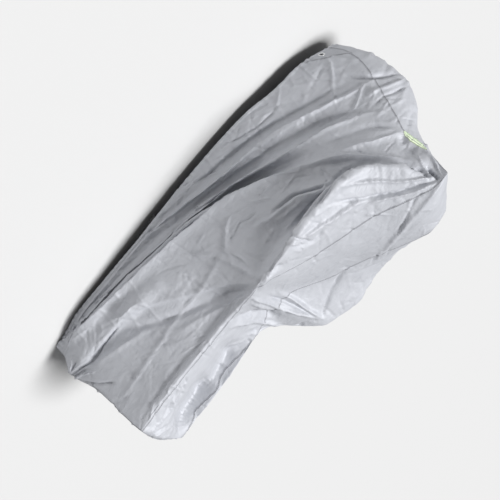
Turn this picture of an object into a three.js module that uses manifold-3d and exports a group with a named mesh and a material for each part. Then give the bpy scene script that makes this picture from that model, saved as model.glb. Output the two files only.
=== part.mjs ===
// A fitted cover of coated cloth, as it stands draped over a parked motorcycle: a centre panel that runs from
// the front hem over the top to the rear hem, two side panels sewn to it, and the small pieces on them. It is
// hollow and open underneath. Millimetres. X runs from the nose to the tail, Y to the right and Z up. The
// origin lies under the middle of the cover, level with its lowest hem.
import * as THREE from "three";
import { mergeVertices } from "three/addons/utils/BufferGeometryUtils.js";
import Module from "manifold-3d";

const wasm = await Module();
wasm.setup();

// Driving dimensions
const CLOTH = 2.0; // thickness of the coated cloth
const HEM = 4.0; // thickness of the hem, turned over its elastic
const SEAM_GAP = 0.6; // between two panels along a sewn seam
const FIT_GAP = 0.3; // between a sewn or set piece and what carries it
const NOSE_MEAN = -970; // mean x of the nose seams, from which the first stations are pulled

const PATCH = { hem: { x: -840, z: 80 }, seam: { x: -1046, z: 225 }, column: 1, columns: 3, eyeletUp: 26 };
const EYELET = { hole: 10, barrel: 11.4, flange: 19, flangeThick: 1.6, roll: 0.8, sides: 24, cut: 60 };
const TAPE = { firstRow: 16, rows: 8, half: 23, ends: 0.25, gap: 0.6, thick: 1.0 };
const STRAP = { firstColumn: 28, columns: 2, above: 12, below: 13, thick: 1.6 };
const BUCKLE = { length: 38, height: 30, thick: 10, bevel: 0.8, drop: 6 };

// Stations along the length: x, how far the station follows the slant of the nose seam, and the columns of
// cloth between it and the station before. The tail seam follows after the last station.
const STATIONS = [
  { x: -820, pull: 0.6, columns: 4 },
  { x: -650, pull: 0.25, columns: 4 },
  { x: -480, pull: 0, columns: 4 },
  { x: -300, pull: 0, columns: 4 },
  { x: -100, pull: 0, columns: 4 },
  { x: 130, pull: 0, columns: 5 },
  { x: 350, pull: 0, columns: 5 },
  { x: 620, pull: 0, columns: 6 },
  { x: 880, pull: 0, columns: 6 },
];
const TAIL_COLUMNS = 5;

// Side panels. The seams give x and the reach from the middle plane by height. Each of the lines is one crest
// or trough that runs from the nose to the tail: the rows of cloth down to the next line, its height on the
// nose seam and on the tail seam, and its reach and height at each station.
const LEFT = {
  side: -1,
  noseSeam: [
    { z: 95, x: -1000, reach: 112 },
    { z: 165, x: -1026, reach: 120 },
    { z: 210, x: -1046, reach: 132 },
    { z: 285, x: -1052, reach: 150 },
    { z: 405, x: -1011, reach: 168 },
    { z: 525, x: -965, reach: 175 },
    { z: 675, x: -915, reach: 170 },
    { z: 735, x: -886, reach: 162 },
    { z: 840, x: -892, reach: 126 },
    { z: 935, x: -880, reach: 126 },
    { z: 1029, x: -860, reach: 130 },
  ],
  tailSeam: [
    { z: 8, x: 1088, reach: 196 },
    { z: 75, x: 1098, reach: 193 },
    { z: 130, x: 1106, reach: 190 },
    { z: 187, x: 1142, reach: 184 },
    { z: 235, x: 1116, reach: 189 },
    { z: 300, x: 1100, reach: 190 },
    { z: 495, x: 1098, reach: 185 },
    { z: 600, x: 1097, reach: 180 },
    { z: 672, x: 1094, reach: 172 },
  ],
  lines: [
    {
      name: "top seam", rows: 2, nose: 1029, tail: 672,
      reach: [147, 160, 165, 165, 178, 330, 195, 180, 178],
      height: [1030, 974, 900, 840, 777, 735, 666, 659, 661],
    },
    {
      name: "wing", rows: 2, nose: 968, tail: 666,
      reach: [185, 225, 275, 290, 290, 341, 205, 186, 184],
      height: [965, 900, 828, 800, 772, 738, 665, 658, 660],
    },
    {
      name: "wing edge", rows: 1, nose: 905, tail: 655,
      reach: [238, 322, 384, 402, 398, 352, 212, 192, 189],
      height: [893, 772, 739, 744, 754, 736, 658, 652, 654],
    },
    {
      name: "under the wing", rows: 2, nose: 868, tail: 630,
      reach: [222, 308, 376, 390, 383, 346, 212, 192, 190],
      height: [862, 745, 716, 703, 712, 720, 638, 630, 630],
    },
    {
      name: "recess", rows: 2, nose: 828, tail: 595,
      reach: [200, 258, 296, 306, 328, 335, 205, 189, 189],
      height: [815, 712, 688, 668, 670, 686, 610, 603, 598],
    },
    {
      name: "upper flank", rows: 2, nose: 790, tail: 490,
      reach: [206, 252, 298, 322, 336, 340, 242, 215, 200],
      height: [760, 672, 640, 605, 598, 598, 540, 510, 500],
    },
    {
      name: "flank", rows: 3, nose: 755, tail: 310,
      reach: [211, 258, 306, 338, 352, 352, 304, 262, 222],
      height: [715, 640, 590, 515, 460, 430, 400, 350, 330],
    },
    {
      name: "lower flank", rows: 3, nose: 720, tail: 187,
      reach: [216, 263, 314, 350, 364, 364, 340, 300, 252],
      height: [680, 616, 556, 450, 372, 300, 270, 226, 195],
    },
    {
      name: "flap edge", rows: 2, nose: 680, tail: 82,
      reach: [220, 268, 320, 356, 370, 368, 358, 338, 305],
      height: [650, 592, 518, 406, 314, 226, 188, 136, 94],
    },
    {
      name: "valley", rows: 1, nose: 630, tail: 70,
      reach: [212, 246, 270, 268, 276, 300, 313, 308, 288],
      height: [606, 530, 442, 348, 274, 206, 170, 116, 78],
    },
    {
      name: "first ridge", rows: 2, nose: 585, tail: 63,
      reach: [223, 262, 300, 324, 339, 340, 334, 320, 294],
      height: [526, 440, 384, 320, 254, 200, 162, 110, 73],
    },
    {
      name: "first trough", rows: 2, nose: 505, tail: 54,
      reach: [205, 238, 266, 286, 304, 308, 311, 304, 281],
      height: [455, 374, 306, 268, 212, 163, 120, 88, 62],
    },
    {
      name: "second ridge", rows: 1, nose: 420, tail: 45,
      reach: [217, 260, 298, 324, 341, 339, 333, 314, 282],
      height: [372, 322, 266, 222, 180, 125, 84, 71, 52],
    },
    {
      name: "second trough", rows: 2, nose: 365, tail: 37,
      reach: [203, 245, 280, 304, 322, 326, 326, 307, 277],
      height: [326, 284, 236, 188, 152, 106, 75, 61, 44],
    },
    {
      name: "skirt", rows: 2, nose: 215, tail: 24,
      reach: [216, 262, 300, 322, 335, 335, 328, 306, 272],
      height: [190, 172, 146, 125, 105, 80, 66, 51, 36],
    },
    {
      name: "hem", rows: 0, nose: 95, tail: 8,
      reach: [216, 262, 303, 322, 333, 335, 325, 302, 268],
      height: [82, 86, 64, 57, 55, 54, 53, 37, 18],
    },
  ],
};

const RIGHT = {
  side: 1,
  noseSeam: [
    { z: 95, x: -1000, reach: 112 },
    { z: 210, x: -1046, reach: 132 },
    { z: 285, x: -1052, reach: 150 },
    { z: 405, x: -1011, reach: 168 },
    { z: 525, x: -965, reach: 175 },
    { z: 675, x: -915, reach: 172 },
    { z: 768, x: -880, reach: 160 },
    { z: 915, x: -805, reach: 138 },
    { z: 1065, x: -725, reach: 120 },
  ],
  tailSeam: [
    { z: 12, x: 1064, reach: 196 },
    { z: 110, x: 1074, reach: 191 },
    { z: 185, x: 1092, reach: 188 },
    { z: 310, x: 1076, reach: 190 },
    { z: 560, x: 1066, reach: 190 },
    { z: 725, x: 1050, reach: 178 },
  ],
  lines: [
    {
      name: "top seam", rows: 2, nose: 1065, tail: 725,
      reach: [128, 142, 158, 160, 158, 60, 176, 182, 182],
      height: [1072, 1068, 1006, 893, 797, 700, 680, 709, 720],
    },
    {
      name: "wing", rows: 2, nose: 995, tail: 715,
      reach: [162, 205, 255, 262, 290, 230, 190, 188, 188],
      height: [1030, 1020, 982, 912, 862, 778, 680, 706, 718],
    },
    {
      name: "wing edge", rows: 2, nose: 925, tail: 700,
      reach: [192, 265, 335, 378, 406, 386, 202, 192, 192],
      height: [970, 945, 922, 894, 914, 852, 668, 694, 706],
    },
    {
      name: "under the wing", rows: 2, nose: 855, tail: 640,
      reach: [182, 255, 330, 374, 400, 376, 206, 195, 195],
      height: [905, 884, 872, 858, 870, 818, 640, 660, 668],
    },
    {
      name: "recess", rows: 4, nose: 809, tail: 560,
      reach: [182, 240, 284, 312, 334, 330, 222, 198, 196],
      height: [825, 795, 785, 775, 770, 735, 590, 590, 590],
    },
    {
      name: "flank", rows: 5, nose: 745, tail: 310,
      reach: [206, 250, 295, 330, 352, 346, 286, 244, 216],
      height: [700, 630, 570, 530, 500, 470, 410, 370, 340],
    },
    {
      name: "flap edge", rows: 2, nose: 680, tail: 82,
      reach: [222, 270, 322, 356, 372, 368, 348, 320, 286],
      height: [610, 520, 440, 375, 322, 270, 215, 158, 106],
    },
    {
      name: "valley", rows: 2, nose: 630, tail: 70,
      reach: [204, 242, 278, 298, 310, 314, 311, 296, 270],
      height: [540, 440, 365, 308, 260, 215, 172, 126, 86],
    },
    {
      name: "ridge", rows: 2, nose: 545, tail: 58,
      reach: [217, 263, 306, 333, 347, 347, 335, 311, 278],
      height: [445, 362, 300, 248, 206, 170, 136, 100, 70],
    },
    {
      name: "trough", rows: 4, nose: 462, tail: 48,
      reach: [204, 248, 286, 312, 325, 326, 319, 298, 270],
      height: [360, 290, 236, 194, 160, 132, 106, 80, 56],
    },
    {
      name: "skirt", rows: 2, nose: 290, tail: 32,
      reach: [216, 260, 300, 323, 334, 336, 328, 305, 272],
      height: [220, 180, 148, 125, 106, 91, 77, 60, 42],
    },
    {
      name: "hem", rows: 0, nose: 95, tail: 12,
      reach: [216, 260, 300, 322, 332, 334, 325, 302, 270],
      height: [90, 88, 72, 62, 58, 56, 54, 43, 30],
    },
  ],
};

// Centre panel: the share of its width at each point across it, and, by row counted from the front hem, the
// height of its crown over the straight line between its two seams.
const ACROSS = [0, 0.15, 0.33, 0.5, 0.67, 0.85, 1];
const CROWN = [
  { name: "front hem", row: 0, height: 50 },
  { name: "low on the wheel", row: 2, height: 70 },
  { name: "wheel front", row: 5, height: 132 },
  { name: "wheel top", row: 7, height: 138 },
  { name: "mudguard", row: 9, height: 116 },
  { name: "over the mudguard", row: 12, height: 54 },
  { name: "neck", row: 17, height: 46 },
  { name: "front face", row: 23, height: 32 },
  { name: "front corner", row: 29, height: 4 },
  { name: "front top", row: 34, height: 22 },
  { name: "tank", row: 45, height: 24 },
  { name: "saddle", row: 54, height: 0 },
  { name: "seat", row: 61, height: 12 },
  { name: "seat rear", row: 71, height: 18 },
  { name: "tail corner", row: 76, height: 36 },
  { name: "tail face", row: 83, height: 30 },
  { name: "rear hem", row: 105, height: 20 },
];

// Folds across the lines above: the panels they cross, the view they are drawn in, their path along the two
// axes of that view, the lift of the crest, and the widths of its slopes to the left and right of the path.
const SIDE_ON = { across: "x", up: "z", towards: "y" };
const FROM_ABOVE = { across: "x", up: "y", towards: "z" };
const FOLDS = [
  {
    name: "tuck under the left wing", on: ["left"], view: SIDE_ON,
    path: [[-590, 728], [-487, 690], [-401, 622], [-312, 566], [-130, 535]], lift: 34, left: 150, right: 22,
  },
  {
    name: "trough from the left wing tip", on: ["left"], view: SIDE_ON,
    path: [[190, 630], [330, 560], [540, 462], [760, 300]], lift: -26, left: 75, right: 90,
  },
  {
    name: "ridge from the left wing tip", on: ["left"], view: SIDE_ON,
    path: [[195, 590], [290, 470], [430, 330], [560, 250]], lift: 18, left: 70, right: 80,
  },
  {
    name: "second trough from the left wing tip", on: ["left"], view: SIDE_ON,
    path: [[145, 590], [190, 470], [250, 350]], lift: -16, left: 55, right: 60,
  },
  {
    name: "pull at the left of the tail", on: ["left"], view: SIDE_ON,
    path: [[720, 240], [930, 222], [1085, 200]], lift: -28, left: 40, right: 45,
  },
  {
    name: "slack over the pull", on: ["left"], view: SIDE_ON,
    path: [[800, 330], [950, 300], [1080, 262]], lift: 12, left: 70, right: 45,
  },
  {
    name: "pocket under the front corner", on: ["left"], view: SIDE_ON,
    path: [[-835, 1000], [-800, 930], [-770, 850]], lift: -26, left: 45, right: 40,
  },
  {
    name: "ridge from the front corner", on: ["left", "centre", "right"], view: FROM_ABOVE,
    path: [[-855, -125], [-700, -70], [-520, 20], [-350, 150]], lift: 22, left: 50, right: 60,
  },
  {
    name: "ridge from the right wing tip", on: ["left", "centre", "right"], view: FROM_ABOVE,
    path: [[118, 385], [160, 200], [196, 0], [216, -200]], lift: 30, left: 50, right: 60,
  },
  {
    name: "slack in front of the seat", on: ["centre", "right"], view: FROM_ABOVE,
    path: [[262, 230], [290, 60], [300, -120]], lift: -16, left: 40, right: 40,
  },
  {
    name: "tuck under the right wing", on: ["right"], view: SIDE_ON,
    path: [[-560, 800], [-430, 700], [-300, 620], [-120, 560]], lift: 26, left: 140, right: 26,
  },
  {
    name: "trough from the right wing tip", on: ["right"], view: SIDE_ON,
    path: [[200, 620], [330, 550], [540, 430], [780, 290]], lift: -22, left: 80, right: 90,
  },
  {
    name: "second ridge from the right wing tip", on: ["right"], view: SIDE_ON,
    path: [[170, 600], [240, 480], [380, 350]], lift: 16, left: 70, right: 80,
  },
  {
    name: "pull at the right of the tail", on: ["right"], view: SIDE_ON,
    path: [[760, 230], [930, 210], [1060, 190]], lift: -18, left: 45, right: 45,
  },
];
const FOLD_STEPS = 24; // places along a fold's path at which its distance is measured
const FOLD_END = 0.08; // share of the half wave cut off each end of a fold, so that it starts with some lift

const mix = (a, b, t) => a + (b - a) * t;

// A value read from a table whose rows are sorted by one column, straight between the rows.
function lookUp(table, by, at, column) {
  const next = table.findIndex((row) => row[by] >= at);
  if (next === -1) return table.at(-1)[column];
  if (next === 0) return table[0][column];
  const [a, b] = [table[next - 1], table[next]];
  return mix(a[column], b[column], (at - a[by]) / (b[by] - a[by]));
}

// Places along a curve of several spans, from 0 to 1, with a number of steps in each span.
function stepsOf(counts) {
  const steps = [0];
  counts.forEach((count, span) => {
    for (let i = 1; i <= count; i++) steps.push((span + i / count) / counts.length);
  });
  return steps;
}

// The points of one side panel, in columns from the nose seam to the tail seam, each from the top seam down.
function panelGrid({ side, noseSeam, tailSeam, lines }) {
  const curves = lines.map((line) => {
    const noseX = lookUp(noseSeam, "z", line.nose, "x");
    const tailX = lookUp(tailSeam, "z", line.tail, "x");
    const points = [
      new THREE.Vector3(noseX, lookUp(noseSeam, "z", line.nose, "reach"), line.nose),
      ...STATIONS.map(({ x, pull }, i) => {
        return new THREE.Vector3(x + pull * (noseX - NOSE_MEAN), line.reach[i], line.height[i]);
      }),
      new THREE.Vector3(tailX, lookUp(tailSeam, "z", line.tail, "reach"), line.tail),
    ];
    return new THREE.CatmullRomCurve3(points, false, "centripetal");
  });
  const columns = stepsOf([...STATIONS.map((station) => station.columns), TAIL_COLUMNS]);
  const rows = stepsOf(lines.slice(0, -1).map((line) => line.rows));
  return columns.map((t) => {
    const crossings = curves.map((curve) => curve.getPoint(t));
    const section = new THREE.CatmullRomCurve3(crossings, false, "centripetal");
    return rows.map((r) => section.getPoint(r).multiply(new THREE.Vector3(1, side, 1)));
  });
}

// The seam of a side panel, as places in its grid: up its nose edge, along its top edge, down its tail edge.
function seamPlaces(grid) {
  const lastColumn = grid.length - 1;
  const lastRow = grid[0].length - 1;
  const places = [];
  for (let row = lastRow; row > 0; row--) places.push([0, row]);
  for (let column = 0; column <= lastColumn; column++) places.push([column, 0]);
  for (let row = 1; row <= lastRow; row++) places.push([lastColumn, row]);
  return places;
}

// The points of the centre panel, from the left seam to the right seam, row by row from the front hem.
function centreGrid(leftEdge, rightEdge) {
  const middles = leftEdge.map((p, i) => p.clone().add(rightEdge[i]).multiplyScalar(0.5));
  return leftEdge.map((start, i) => {
    const chord = rightEdge[i].clone().sub(start);
    const ahead = middles[Math.min(i + 1, middles.length - 1)];
    const along = ahead.clone().sub(middles[Math.max(i - 1, 0)]);
    const out = along.cross(chord).normalize();
    const crown = lookUp(CROWN, "row", i, "height");
    return ACROSS.map((t) => {
      const lift = crown * (1 - (2 * t - 1) ** 2);
      return start.clone().addScaledVector(chord, t).addScaledVector(out, lift);
    });
  });
}

// The outward direction at each point of a panel. turn is -1 where the grid runs round the other way.
function outwards({ grid, turn }) {
  const lastA = grid.length - 1;
  const lastB = grid[0].length - 1;
  return grid.map((line, a) =>
    line.map((_, b) => {
      const alongA = grid[Math.min(a + 1, lastA)][b].clone().sub(grid[Math.max(a - 1, 0)][b]);
      const alongB = grid[a][Math.min(b + 1, lastB)].clone().sub(grid[a][Math.max(b - 1, 0)]);
      return alongA.cross(alongB).multiplyScalar(turn).normalize();
    }),
  );
}

// Gives both edges of a seam one shared direction through the cloth.
function shareSeam(panel, centre, edge) {
  panel.seam.forEach(([column, row], i) => {
    const through = panel.normals[column][row].clone().add(centre.normals[i][edge]).normalize();
    panel.normals[column][row] = through;
    centre.normals[i][edge] = through;
  });
}

// Brings both edges of a seam back together, where a fold crosses only one of them.
function joinSeam(panel, centre, edge) {
  panel.seam.forEach(([column, row], i) => {
    panel.grid[column][row].lerp(centre.grid[i][edge], 0.5);
    centre.grid[i][edge].copy(panel.grid[column][row]);
  });
}

// Parts the two edges of a seam by the seam gap, each moving half of it in the plane of its cloth, mitred
// where the seam turns.
function openSeam(panel, centre, edge, inner) {
  const points = centre.grid.map((row) => row[edge].clone());
  panel.seam.forEach(([column, row], i) => {
    const before = points[i].clone().sub(points[Math.max(i - 1, 0)]).normalize();
    const after = points[Math.min(i + 1, points.length - 1)].clone().sub(points[i]).normalize();
    const along = before.clone().add(after);
    const apart = centre.normals[i][edge].clone().cross(along).normalize();
    if (apart.dot(centre.grid[i][inner].clone().sub(points[i])) < 0) apart.negate();
    apart.multiplyScalar(SEAM_GAP / along.length());
    panel.grid[column][row].sub(apart);
    centre.grid[i][edge].add(apart);
  });
}

// Lifts the points of a panel outwards where the folds cross it, as far as it faces their view.
function raiseFolds(panel, name) {
  FOLDS.filter((fold) => fold.on.includes(name)).forEach(({ view, path, lift, left, right }) => {
    const curve = new THREE.SplineCurve(path.map(([a, b]) => new THREE.Vector2(a, b)));
    const samples = curve.getPoints(FOLD_STEPS);
    panel.grid.forEach((line, a) =>
      line.forEach((point, b) => {
        const out = panel.normals[a][b];
        const here = new THREE.Vector2(point[view.across], point[view.up]);
        const distances = samples.map((sample) => sample.distanceTo(here));
        const nearest = distances.indexOf(Math.min(...distances));
        const onLeft = curve.getTangent(nearest / FOLD_STEPS).cross(here.sub(samples[nearest])) > 0;
        const slope = distances[nearest] / (onLeft ? left : right);
        const ends = Math.sqrt(Math.sin(Math.PI * mix(FOLD_END, 1 - FOLD_END, nearest / FOLD_STEPS)));
        const facing = Math.abs(out[view.towards]);
        point.addScaledVector(out, lift * ends * facing * Math.exp(-2 * slope ** 2));
      }),
    );
  });
}

// A closed sheet: the grid is its outer face, and its inner face lies under it by the thickness at a place.
function closedSheet({ grid, normals, turn }, thickness) {
  const lastA = grid.length - 1;
  const lastB = grid[0].length - 1;
  const outer = (a, b) => a * (lastB + 1) + b;
  const inner = (a, b) => outer(a, b) + (lastA + 1) * (lastB + 1);
  const under = grid.map((line, a) =>
    line.map((point, b) => point.clone().addScaledVector(normals[a][b], -thickness(a, b))),
  );
  const faces = [];
  const face = (p, q, r) => faces.push(...(turn > 0 ? [p, q, r] : [p, r, q]));
  for (let a = 0; a < lastA; a++) {
    for (let b = 0; b < lastB; b++) {
      face(outer(a, b), outer(a + 1, b), outer(a + 1, b + 1));
      face(outer(a, b), outer(a + 1, b + 1), outer(a, b + 1));
      face(inner(a, b), inner(a + 1, b + 1), inner(a + 1, b));
      face(inner(a, b), inner(a, b + 1), inner(a + 1, b + 1));
    }
  }
  const rim = [];
  for (let a = 0; a < lastA; a++) rim.push([a, 0]);
  for (let b = 0; b < lastB; b++) rim.push([lastA, b]);
  for (let a = lastA; a > 0; a--) rim.push([a, lastB]);
  for (let b = lastB; b > 0; b--) rim.push([0, b]);
  rim.forEach((p, i) => {
    const q = rim[(i + 1) % rim.length];
    face(outer(...q), outer(...p), inner(...p));
    face(outer(...q), inner(...p), inner(...q));
  });
  return new THREE.BufferGeometry().setFromPoints([...grid.flat(), ...under.flat()]).setIndex(faces);
}

function solidOf(geometry) {
  const vertProperties = new Float32Array(geometry.attributes.position.array);
  const triVerts = new Uint32Array(geometry.index.array);
  return new wasm.Manifold(new wasm.Mesh({ numProp: 3, vertProperties, triVerts }));
}

function geometryOf(solid) {
  const { vertProperties, triVerts } = solid.getMesh();
  const geometry = new THREE.BufferGeometry();
  geometry.setAttribute("position", new THREE.BufferAttribute(vertProperties, 3));
  return geometry.setIndex(new THREE.BufferAttribute(triVerts, 1));
}

const cloth = { color: 0xb9bcc4, roughness: 0.5, metalness: 0.25 };
const materials = {
  cloth: new THREE.MeshStandardMaterial(cloth),
  patch: new THREE.MeshStandardMaterial({ ...cloth, color: 0xb2b5bd }),
  metal: new THREE.MeshStandardMaterial({ color: 0xd9dbde, roughness: 0.25, metalness: 1.0 }),
  tape: new THREE.MeshStandardMaterial({ color: 0xc6e8a0, roughness: 0.4, metalness: 0.0 }),
  webbing: new THREE.MeshStandardMaterial({ color: 0x17181a, roughness: 0.85, metalness: 0.0 }),
  plastic: new THREE.MeshStandardMaterial({ color: 0x121315, roughness: 0.45, metalness: 0.0 }),
};

const pieces = new THREE.Group();

function addPiece(name, geometry, material, place = new THREE.Matrix4()) {
  const mesh = new THREE.Mesh(geometry, material);
  mesh.name = name;
  mesh.applyMatrix4(place);
  pieces.add(mesh);
}

// The three panels, with their folds raised and their seams opened
const left = { grid: panelGrid(LEFT), turn: -1 };
const right = { grid: panelGrid(RIGHT), turn: 1 };
[left, right].forEach((panel) => {
  panel.seam = seamPlaces(panel.grid);
  panel.edge = panel.seam.map(([column, row]) => panel.grid[column][row].clone());
});
const centre = { grid: centreGrid(left.edge, right.edge), turn: 1 };
const lastAcross = ACROSS.length - 1;

function settleNormals() {
  [left, right, centre].forEach((panel) => {
    panel.normals = outwards(panel);
  });
  shareSeam(left, centre, 0);
  shareSeam(right, centre, lastAcross);
}

settleNormals();
raiseFolds(left, "left");
raiseFolds(right, "right");
raiseFolds(centre, "centre");
joinSeam(left, centre, 0);
joinSeam(right, centre, lastAcross);
settleNormals();
openSeam(left, centre, 0, 1);
openSeam(right, centre, lastAcross, lastAcross - 1);

const lastRow = left.grid[0].length - 1;
const lastCentreRow = centre.grid.length - 1;
const centreThickness = (row) => (row === 0 || row === lastCentreRow ? HEM : CLOTH);
addPiece("centre_panel", closedSheet(centre, centreThickness), materials.cloth);

// Lays the cloth flat where an eyelet goes, and gives the frame of the flat: its origin on the outer face of
// the hem between two columns of the panel, x along the hem, y up the cloth and z outwards.
function layPatch({ grid, turn }) {
  const [first, second] = [grid[PATCH.column], grid[PATCH.column + 1]];
  const along = second[lastRow].clone().sub(first[lastRow]).multiplyScalar(-turn).normalize();
  const rise = first[lastRow - 1].clone().add(second[lastRow - 1]).sub(first[lastRow]).sub(second[lastRow]);
  const out = along.clone().cross(rise).normalize();
  const origin = first[lastRow].clone().add(second[lastRow]).multiplyScalar(0.5);
  const flat = new THREE.Plane().setFromNormalAndCoplanarPoint(out, origin);
  [first, second].forEach((column) => {
    column.slice(lastRow - 1).forEach((point) => flat.projectPoint(point.clone(), point));
  });
  return new THREE.Matrix4().makeBasis(along, out.clone().cross(along), out).setPosition(origin);
}

// The corner that is doubled to hold an eyelet, cut off along a straight line from the seam to the hem, and
// the rest of its panel
function cutCorner(solid) {
  const { hem, seam } = PATCH;
  const upwards = new THREE.Vector3(seam.z - hem.z, 0, hem.x - seam.x).normalize();
  const level = upwards.x * hem.x + upwards.z * hem.z;
  const corner = solid.trimByPlane(upwards.clone().negate().toArray(), FIT_GAP / 2 - level);
  return { corner, rest: solid.trimByPlane(upwards.toArray(), level + FIT_GAP / 2) };
}

// The round hole in the corner
function holeGeometry() {
  const radius = EYELET.barrel + FIT_GAP;
  const hole = new THREE.CylinderGeometry(radius, radius, EYELET.cut, EYELET.sides).rotateX(Math.PI / 2);
  hole.deleteAttribute("normal").deleteAttribute("uv").translate(0, PATCH.eyeletUp, 0);
  return mergeVertices(hole);
}

// A lock eyelet: a barrel through the doubled corner, with a flange rolled over on both faces
function eyeletGeometry() {
  const half = HEM / 2 + FIT_GAP;
  const outer = half + EYELET.flangeThick;
  const face = [
    [EYELET.barrel, half],
    [EYELET.flange - EYELET.roll, half],
    [EYELET.flange, half + EYELET.roll],
    [EYELET.flange - EYELET.roll, outer],
    [EYELET.hole + EYELET.roll, outer],
    [EYELET.hole, half],
  ];
  const back = face.map(([radius, y]) => [radius, -y]).reverse();
  const profile = [...face, ...back, face[0]].map(([radius, y]) => new THREE.Vector2(radius, y));
  const ring = new THREE.LatheGeometry(profile, EYELET.sides).rotateX(Math.PI / 2);
  return ring.translate(0, PATCH.eyeletUp, -HEM / 2);
}

// A reflective tape over one of the seams at the neck of the nose, widest half way along. It reaches from the
// side panel to the centre panel.
function tapeGeometry({ grid, normals, seam, turn }, edge, inner) {
  const tape = { grid: [], normals: [], turn: -turn };
  for (let step = 0; step <= TAPE.rows; step++) {
    const place = TAPE.firstRow + step;
    const [column, row] = seam[place];
    const middle = centre.grid[place][edge];
    const half = TAPE.half * mix(TAPE.ends, 1, Math.sin((Math.PI * step) / TAPE.rows));
    const sides = [grid[column + 1][row], centre.grid[place][inner]].map((point) => {
      return point.clone().sub(middle).setLength(half).add(middle);
    });
    const out = [normals[column + 1][row], centre.normals[place][edge], centre.normals[place][inner]];
    const points = [sides[0], middle.clone(), sides[1]];
    tape.grid.push(points.map((point, i) => point.addScaledVector(out[i], TAPE.gap + TAPE.thick)));
    tape.normals.push(out);
  }
  return closedSheet(tape, () => TAPE.thick);
}

// The hem strap: webbing that hangs inside the hem, upright and along it
function strapSheet({ grid, normals, turn }) {
  const strap = { grid: [], normals: [], turn };
  for (let column = STRAP.firstColumn; column <= STRAP.firstColumn + STRAP.columns; column++) {
    const through = normals[column][lastRow];
    const out = through.clone().setZ(0).normalize();
    const edge = grid[column][lastRow].clone().addScaledVector(through, -HEM).addScaledVector(out, -FIT_GAP);
    strap.grid.push([STRAP.above, -STRAP.below].map((up) => edge.clone().setZ(edge.z + up)));
    strap.normals.push([out, out]);
  }
  return strap;
}

// The frame of a buckle half at the front end of its strap: x forward along the strap and y up, with its
// outer face level with the strap's
function buckleFrame(strap) {
  const [end, behind] = strap.grid.map(([top, bottom]) => top.clone().add(bottom).multiplyScalar(0.5));
  const forward = end.clone().sub(behind).setZ(0).normalize();
  const up = new THREE.Vector3(0, 0, 1);
  const origin = end.clone().addScaledVector(forward, FIT_GAP).addScaledVector(up, -BUCKLE.drop);
  origin.addScaledVector(strap.normals[0][0], -BUCKLE.thick / 2 - FIT_GAP);
  return new THREE.Matrix4().makeBasis(forward, up, forward.clone().cross(up)).setPosition(origin);
}

// The outlines of the two buckle halves, by distance from the end of the strap: a socket with a waist for
// finger and thumb, and a plug with two prongs
function socketShape() {
  const half = BUCKLE.height / 2;
  const waist = half - 4;
  const tip = BUCKLE.length;
  const body = [[0, -half], [10, -half], [14, -waist], [26, -waist], [30, -half]];
  const side = [...body, [tip - 3, -half], [tip, 3 - half]];
  const upper = side.map(([x, y]) => [x, -y]).reverse();
  return new THREE.Shape([...side, ...upper].map(([x, y]) => new THREE.Vector2(x, y)));
}

function plugShape() {
  const half = BUCKLE.height / 2;
  const tip = BUCKLE.length;
  const base = [[0, -half], [14, -half], [14, 3 - half], [24, 1 - half]];
  const prong = [...base, [tip, 6 - half], [tip, 9 - half], [26, 7 - half], [18, 8 - half], [16, -4]];
  const upper = prong.map(([x, y]) => [x, -y]).reverse();
  return new THREE.Shape([...prong, ...upper].map(([x, y]) => new THREE.Vector2(x, y)));
}

function buckleGeometry(shape) {
  const depth = BUCKLE.thick - 2 * BUCKLE.bevel;
  const bevel = {
    bevelThickness: BUCKLE.bevel, bevelSize: BUCKLE.bevel, bevelOffset: -BUCKLE.bevel, bevelSegments: 1,
  };
  return new THREE.ExtrudeGeometry(shape, { depth, ...bevel }).translate(0, 0, -depth / 2);
}

const SIDES = [
  { name: "left", panel: left, edge: 0, inner: 1, half: "socket", shape: socketShape() },
  { name: "right", panel: right, edge: lastAcross, inner: lastAcross - 1, half: "plug", shape: plugShape() },
];
SIDES.forEach(({ name, panel, edge, inner, half, shape }) => {
  const frame = layPatch(panel);
  const doubled = (column, row) => row === lastRow - 1 && column <= PATCH.columns;
  const sheet = closedSheet(panel, (column, row) => (row === lastRow || doubled(column, row) ? HEM : CLOTH));
  const { corner, rest } = cutCorner(solidOf(sheet));
  const patch = corner.subtract(solidOf(holeGeometry().applyMatrix4(frame)));
  addPiece("side_panel_" + name, geometryOf(rest), materials.cloth);
  addPiece("eyelet_patch_" + name, geometryOf(patch), materials.patch);
  addPiece("lock_eyelet_" + name, eyeletGeometry(), materials.metal, frame);
  addPiece("reflective_tape_" + name, tapeGeometry(panel, edge, inner), materials.tape);
  const strap = strapSheet(panel);
  addPiece("hem_strap_" + name, closedSheet(strap, () => STRAP.thick), materials.webbing);
  addPiece("buckle_" + half, buckleGeometry(shape), materials.plastic, buckleFrame(strap));
});

// The origin lies under the middle of the cover
const box = new THREE.Box3().setFromObject(pieces);
const middle = box.getCenter(new THREE.Vector3());
pieces.position.set(-middle.x, -middle.y, -box.min.z);

const cover = new THREE.Group();
cover.add(pieces);

export default cover;
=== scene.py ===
# %% [markdown]
# # A fitted motorcycle cover
# The cover is three panels of silver coated cloth, sewn together and drawn in by elastic at the hem. This
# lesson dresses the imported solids: their outer faces become one fine sheet, the creases are pressed into it
# by hand, and the seams, hem, eyelets, tape and buckle are added on top.

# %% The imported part
import math

import bmesh
import bpy
import numpy as np
from mathutils import Matrix, Quaternion, Vector, kdtree, noise
from mathutils.bvhtree import BVHTree


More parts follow.
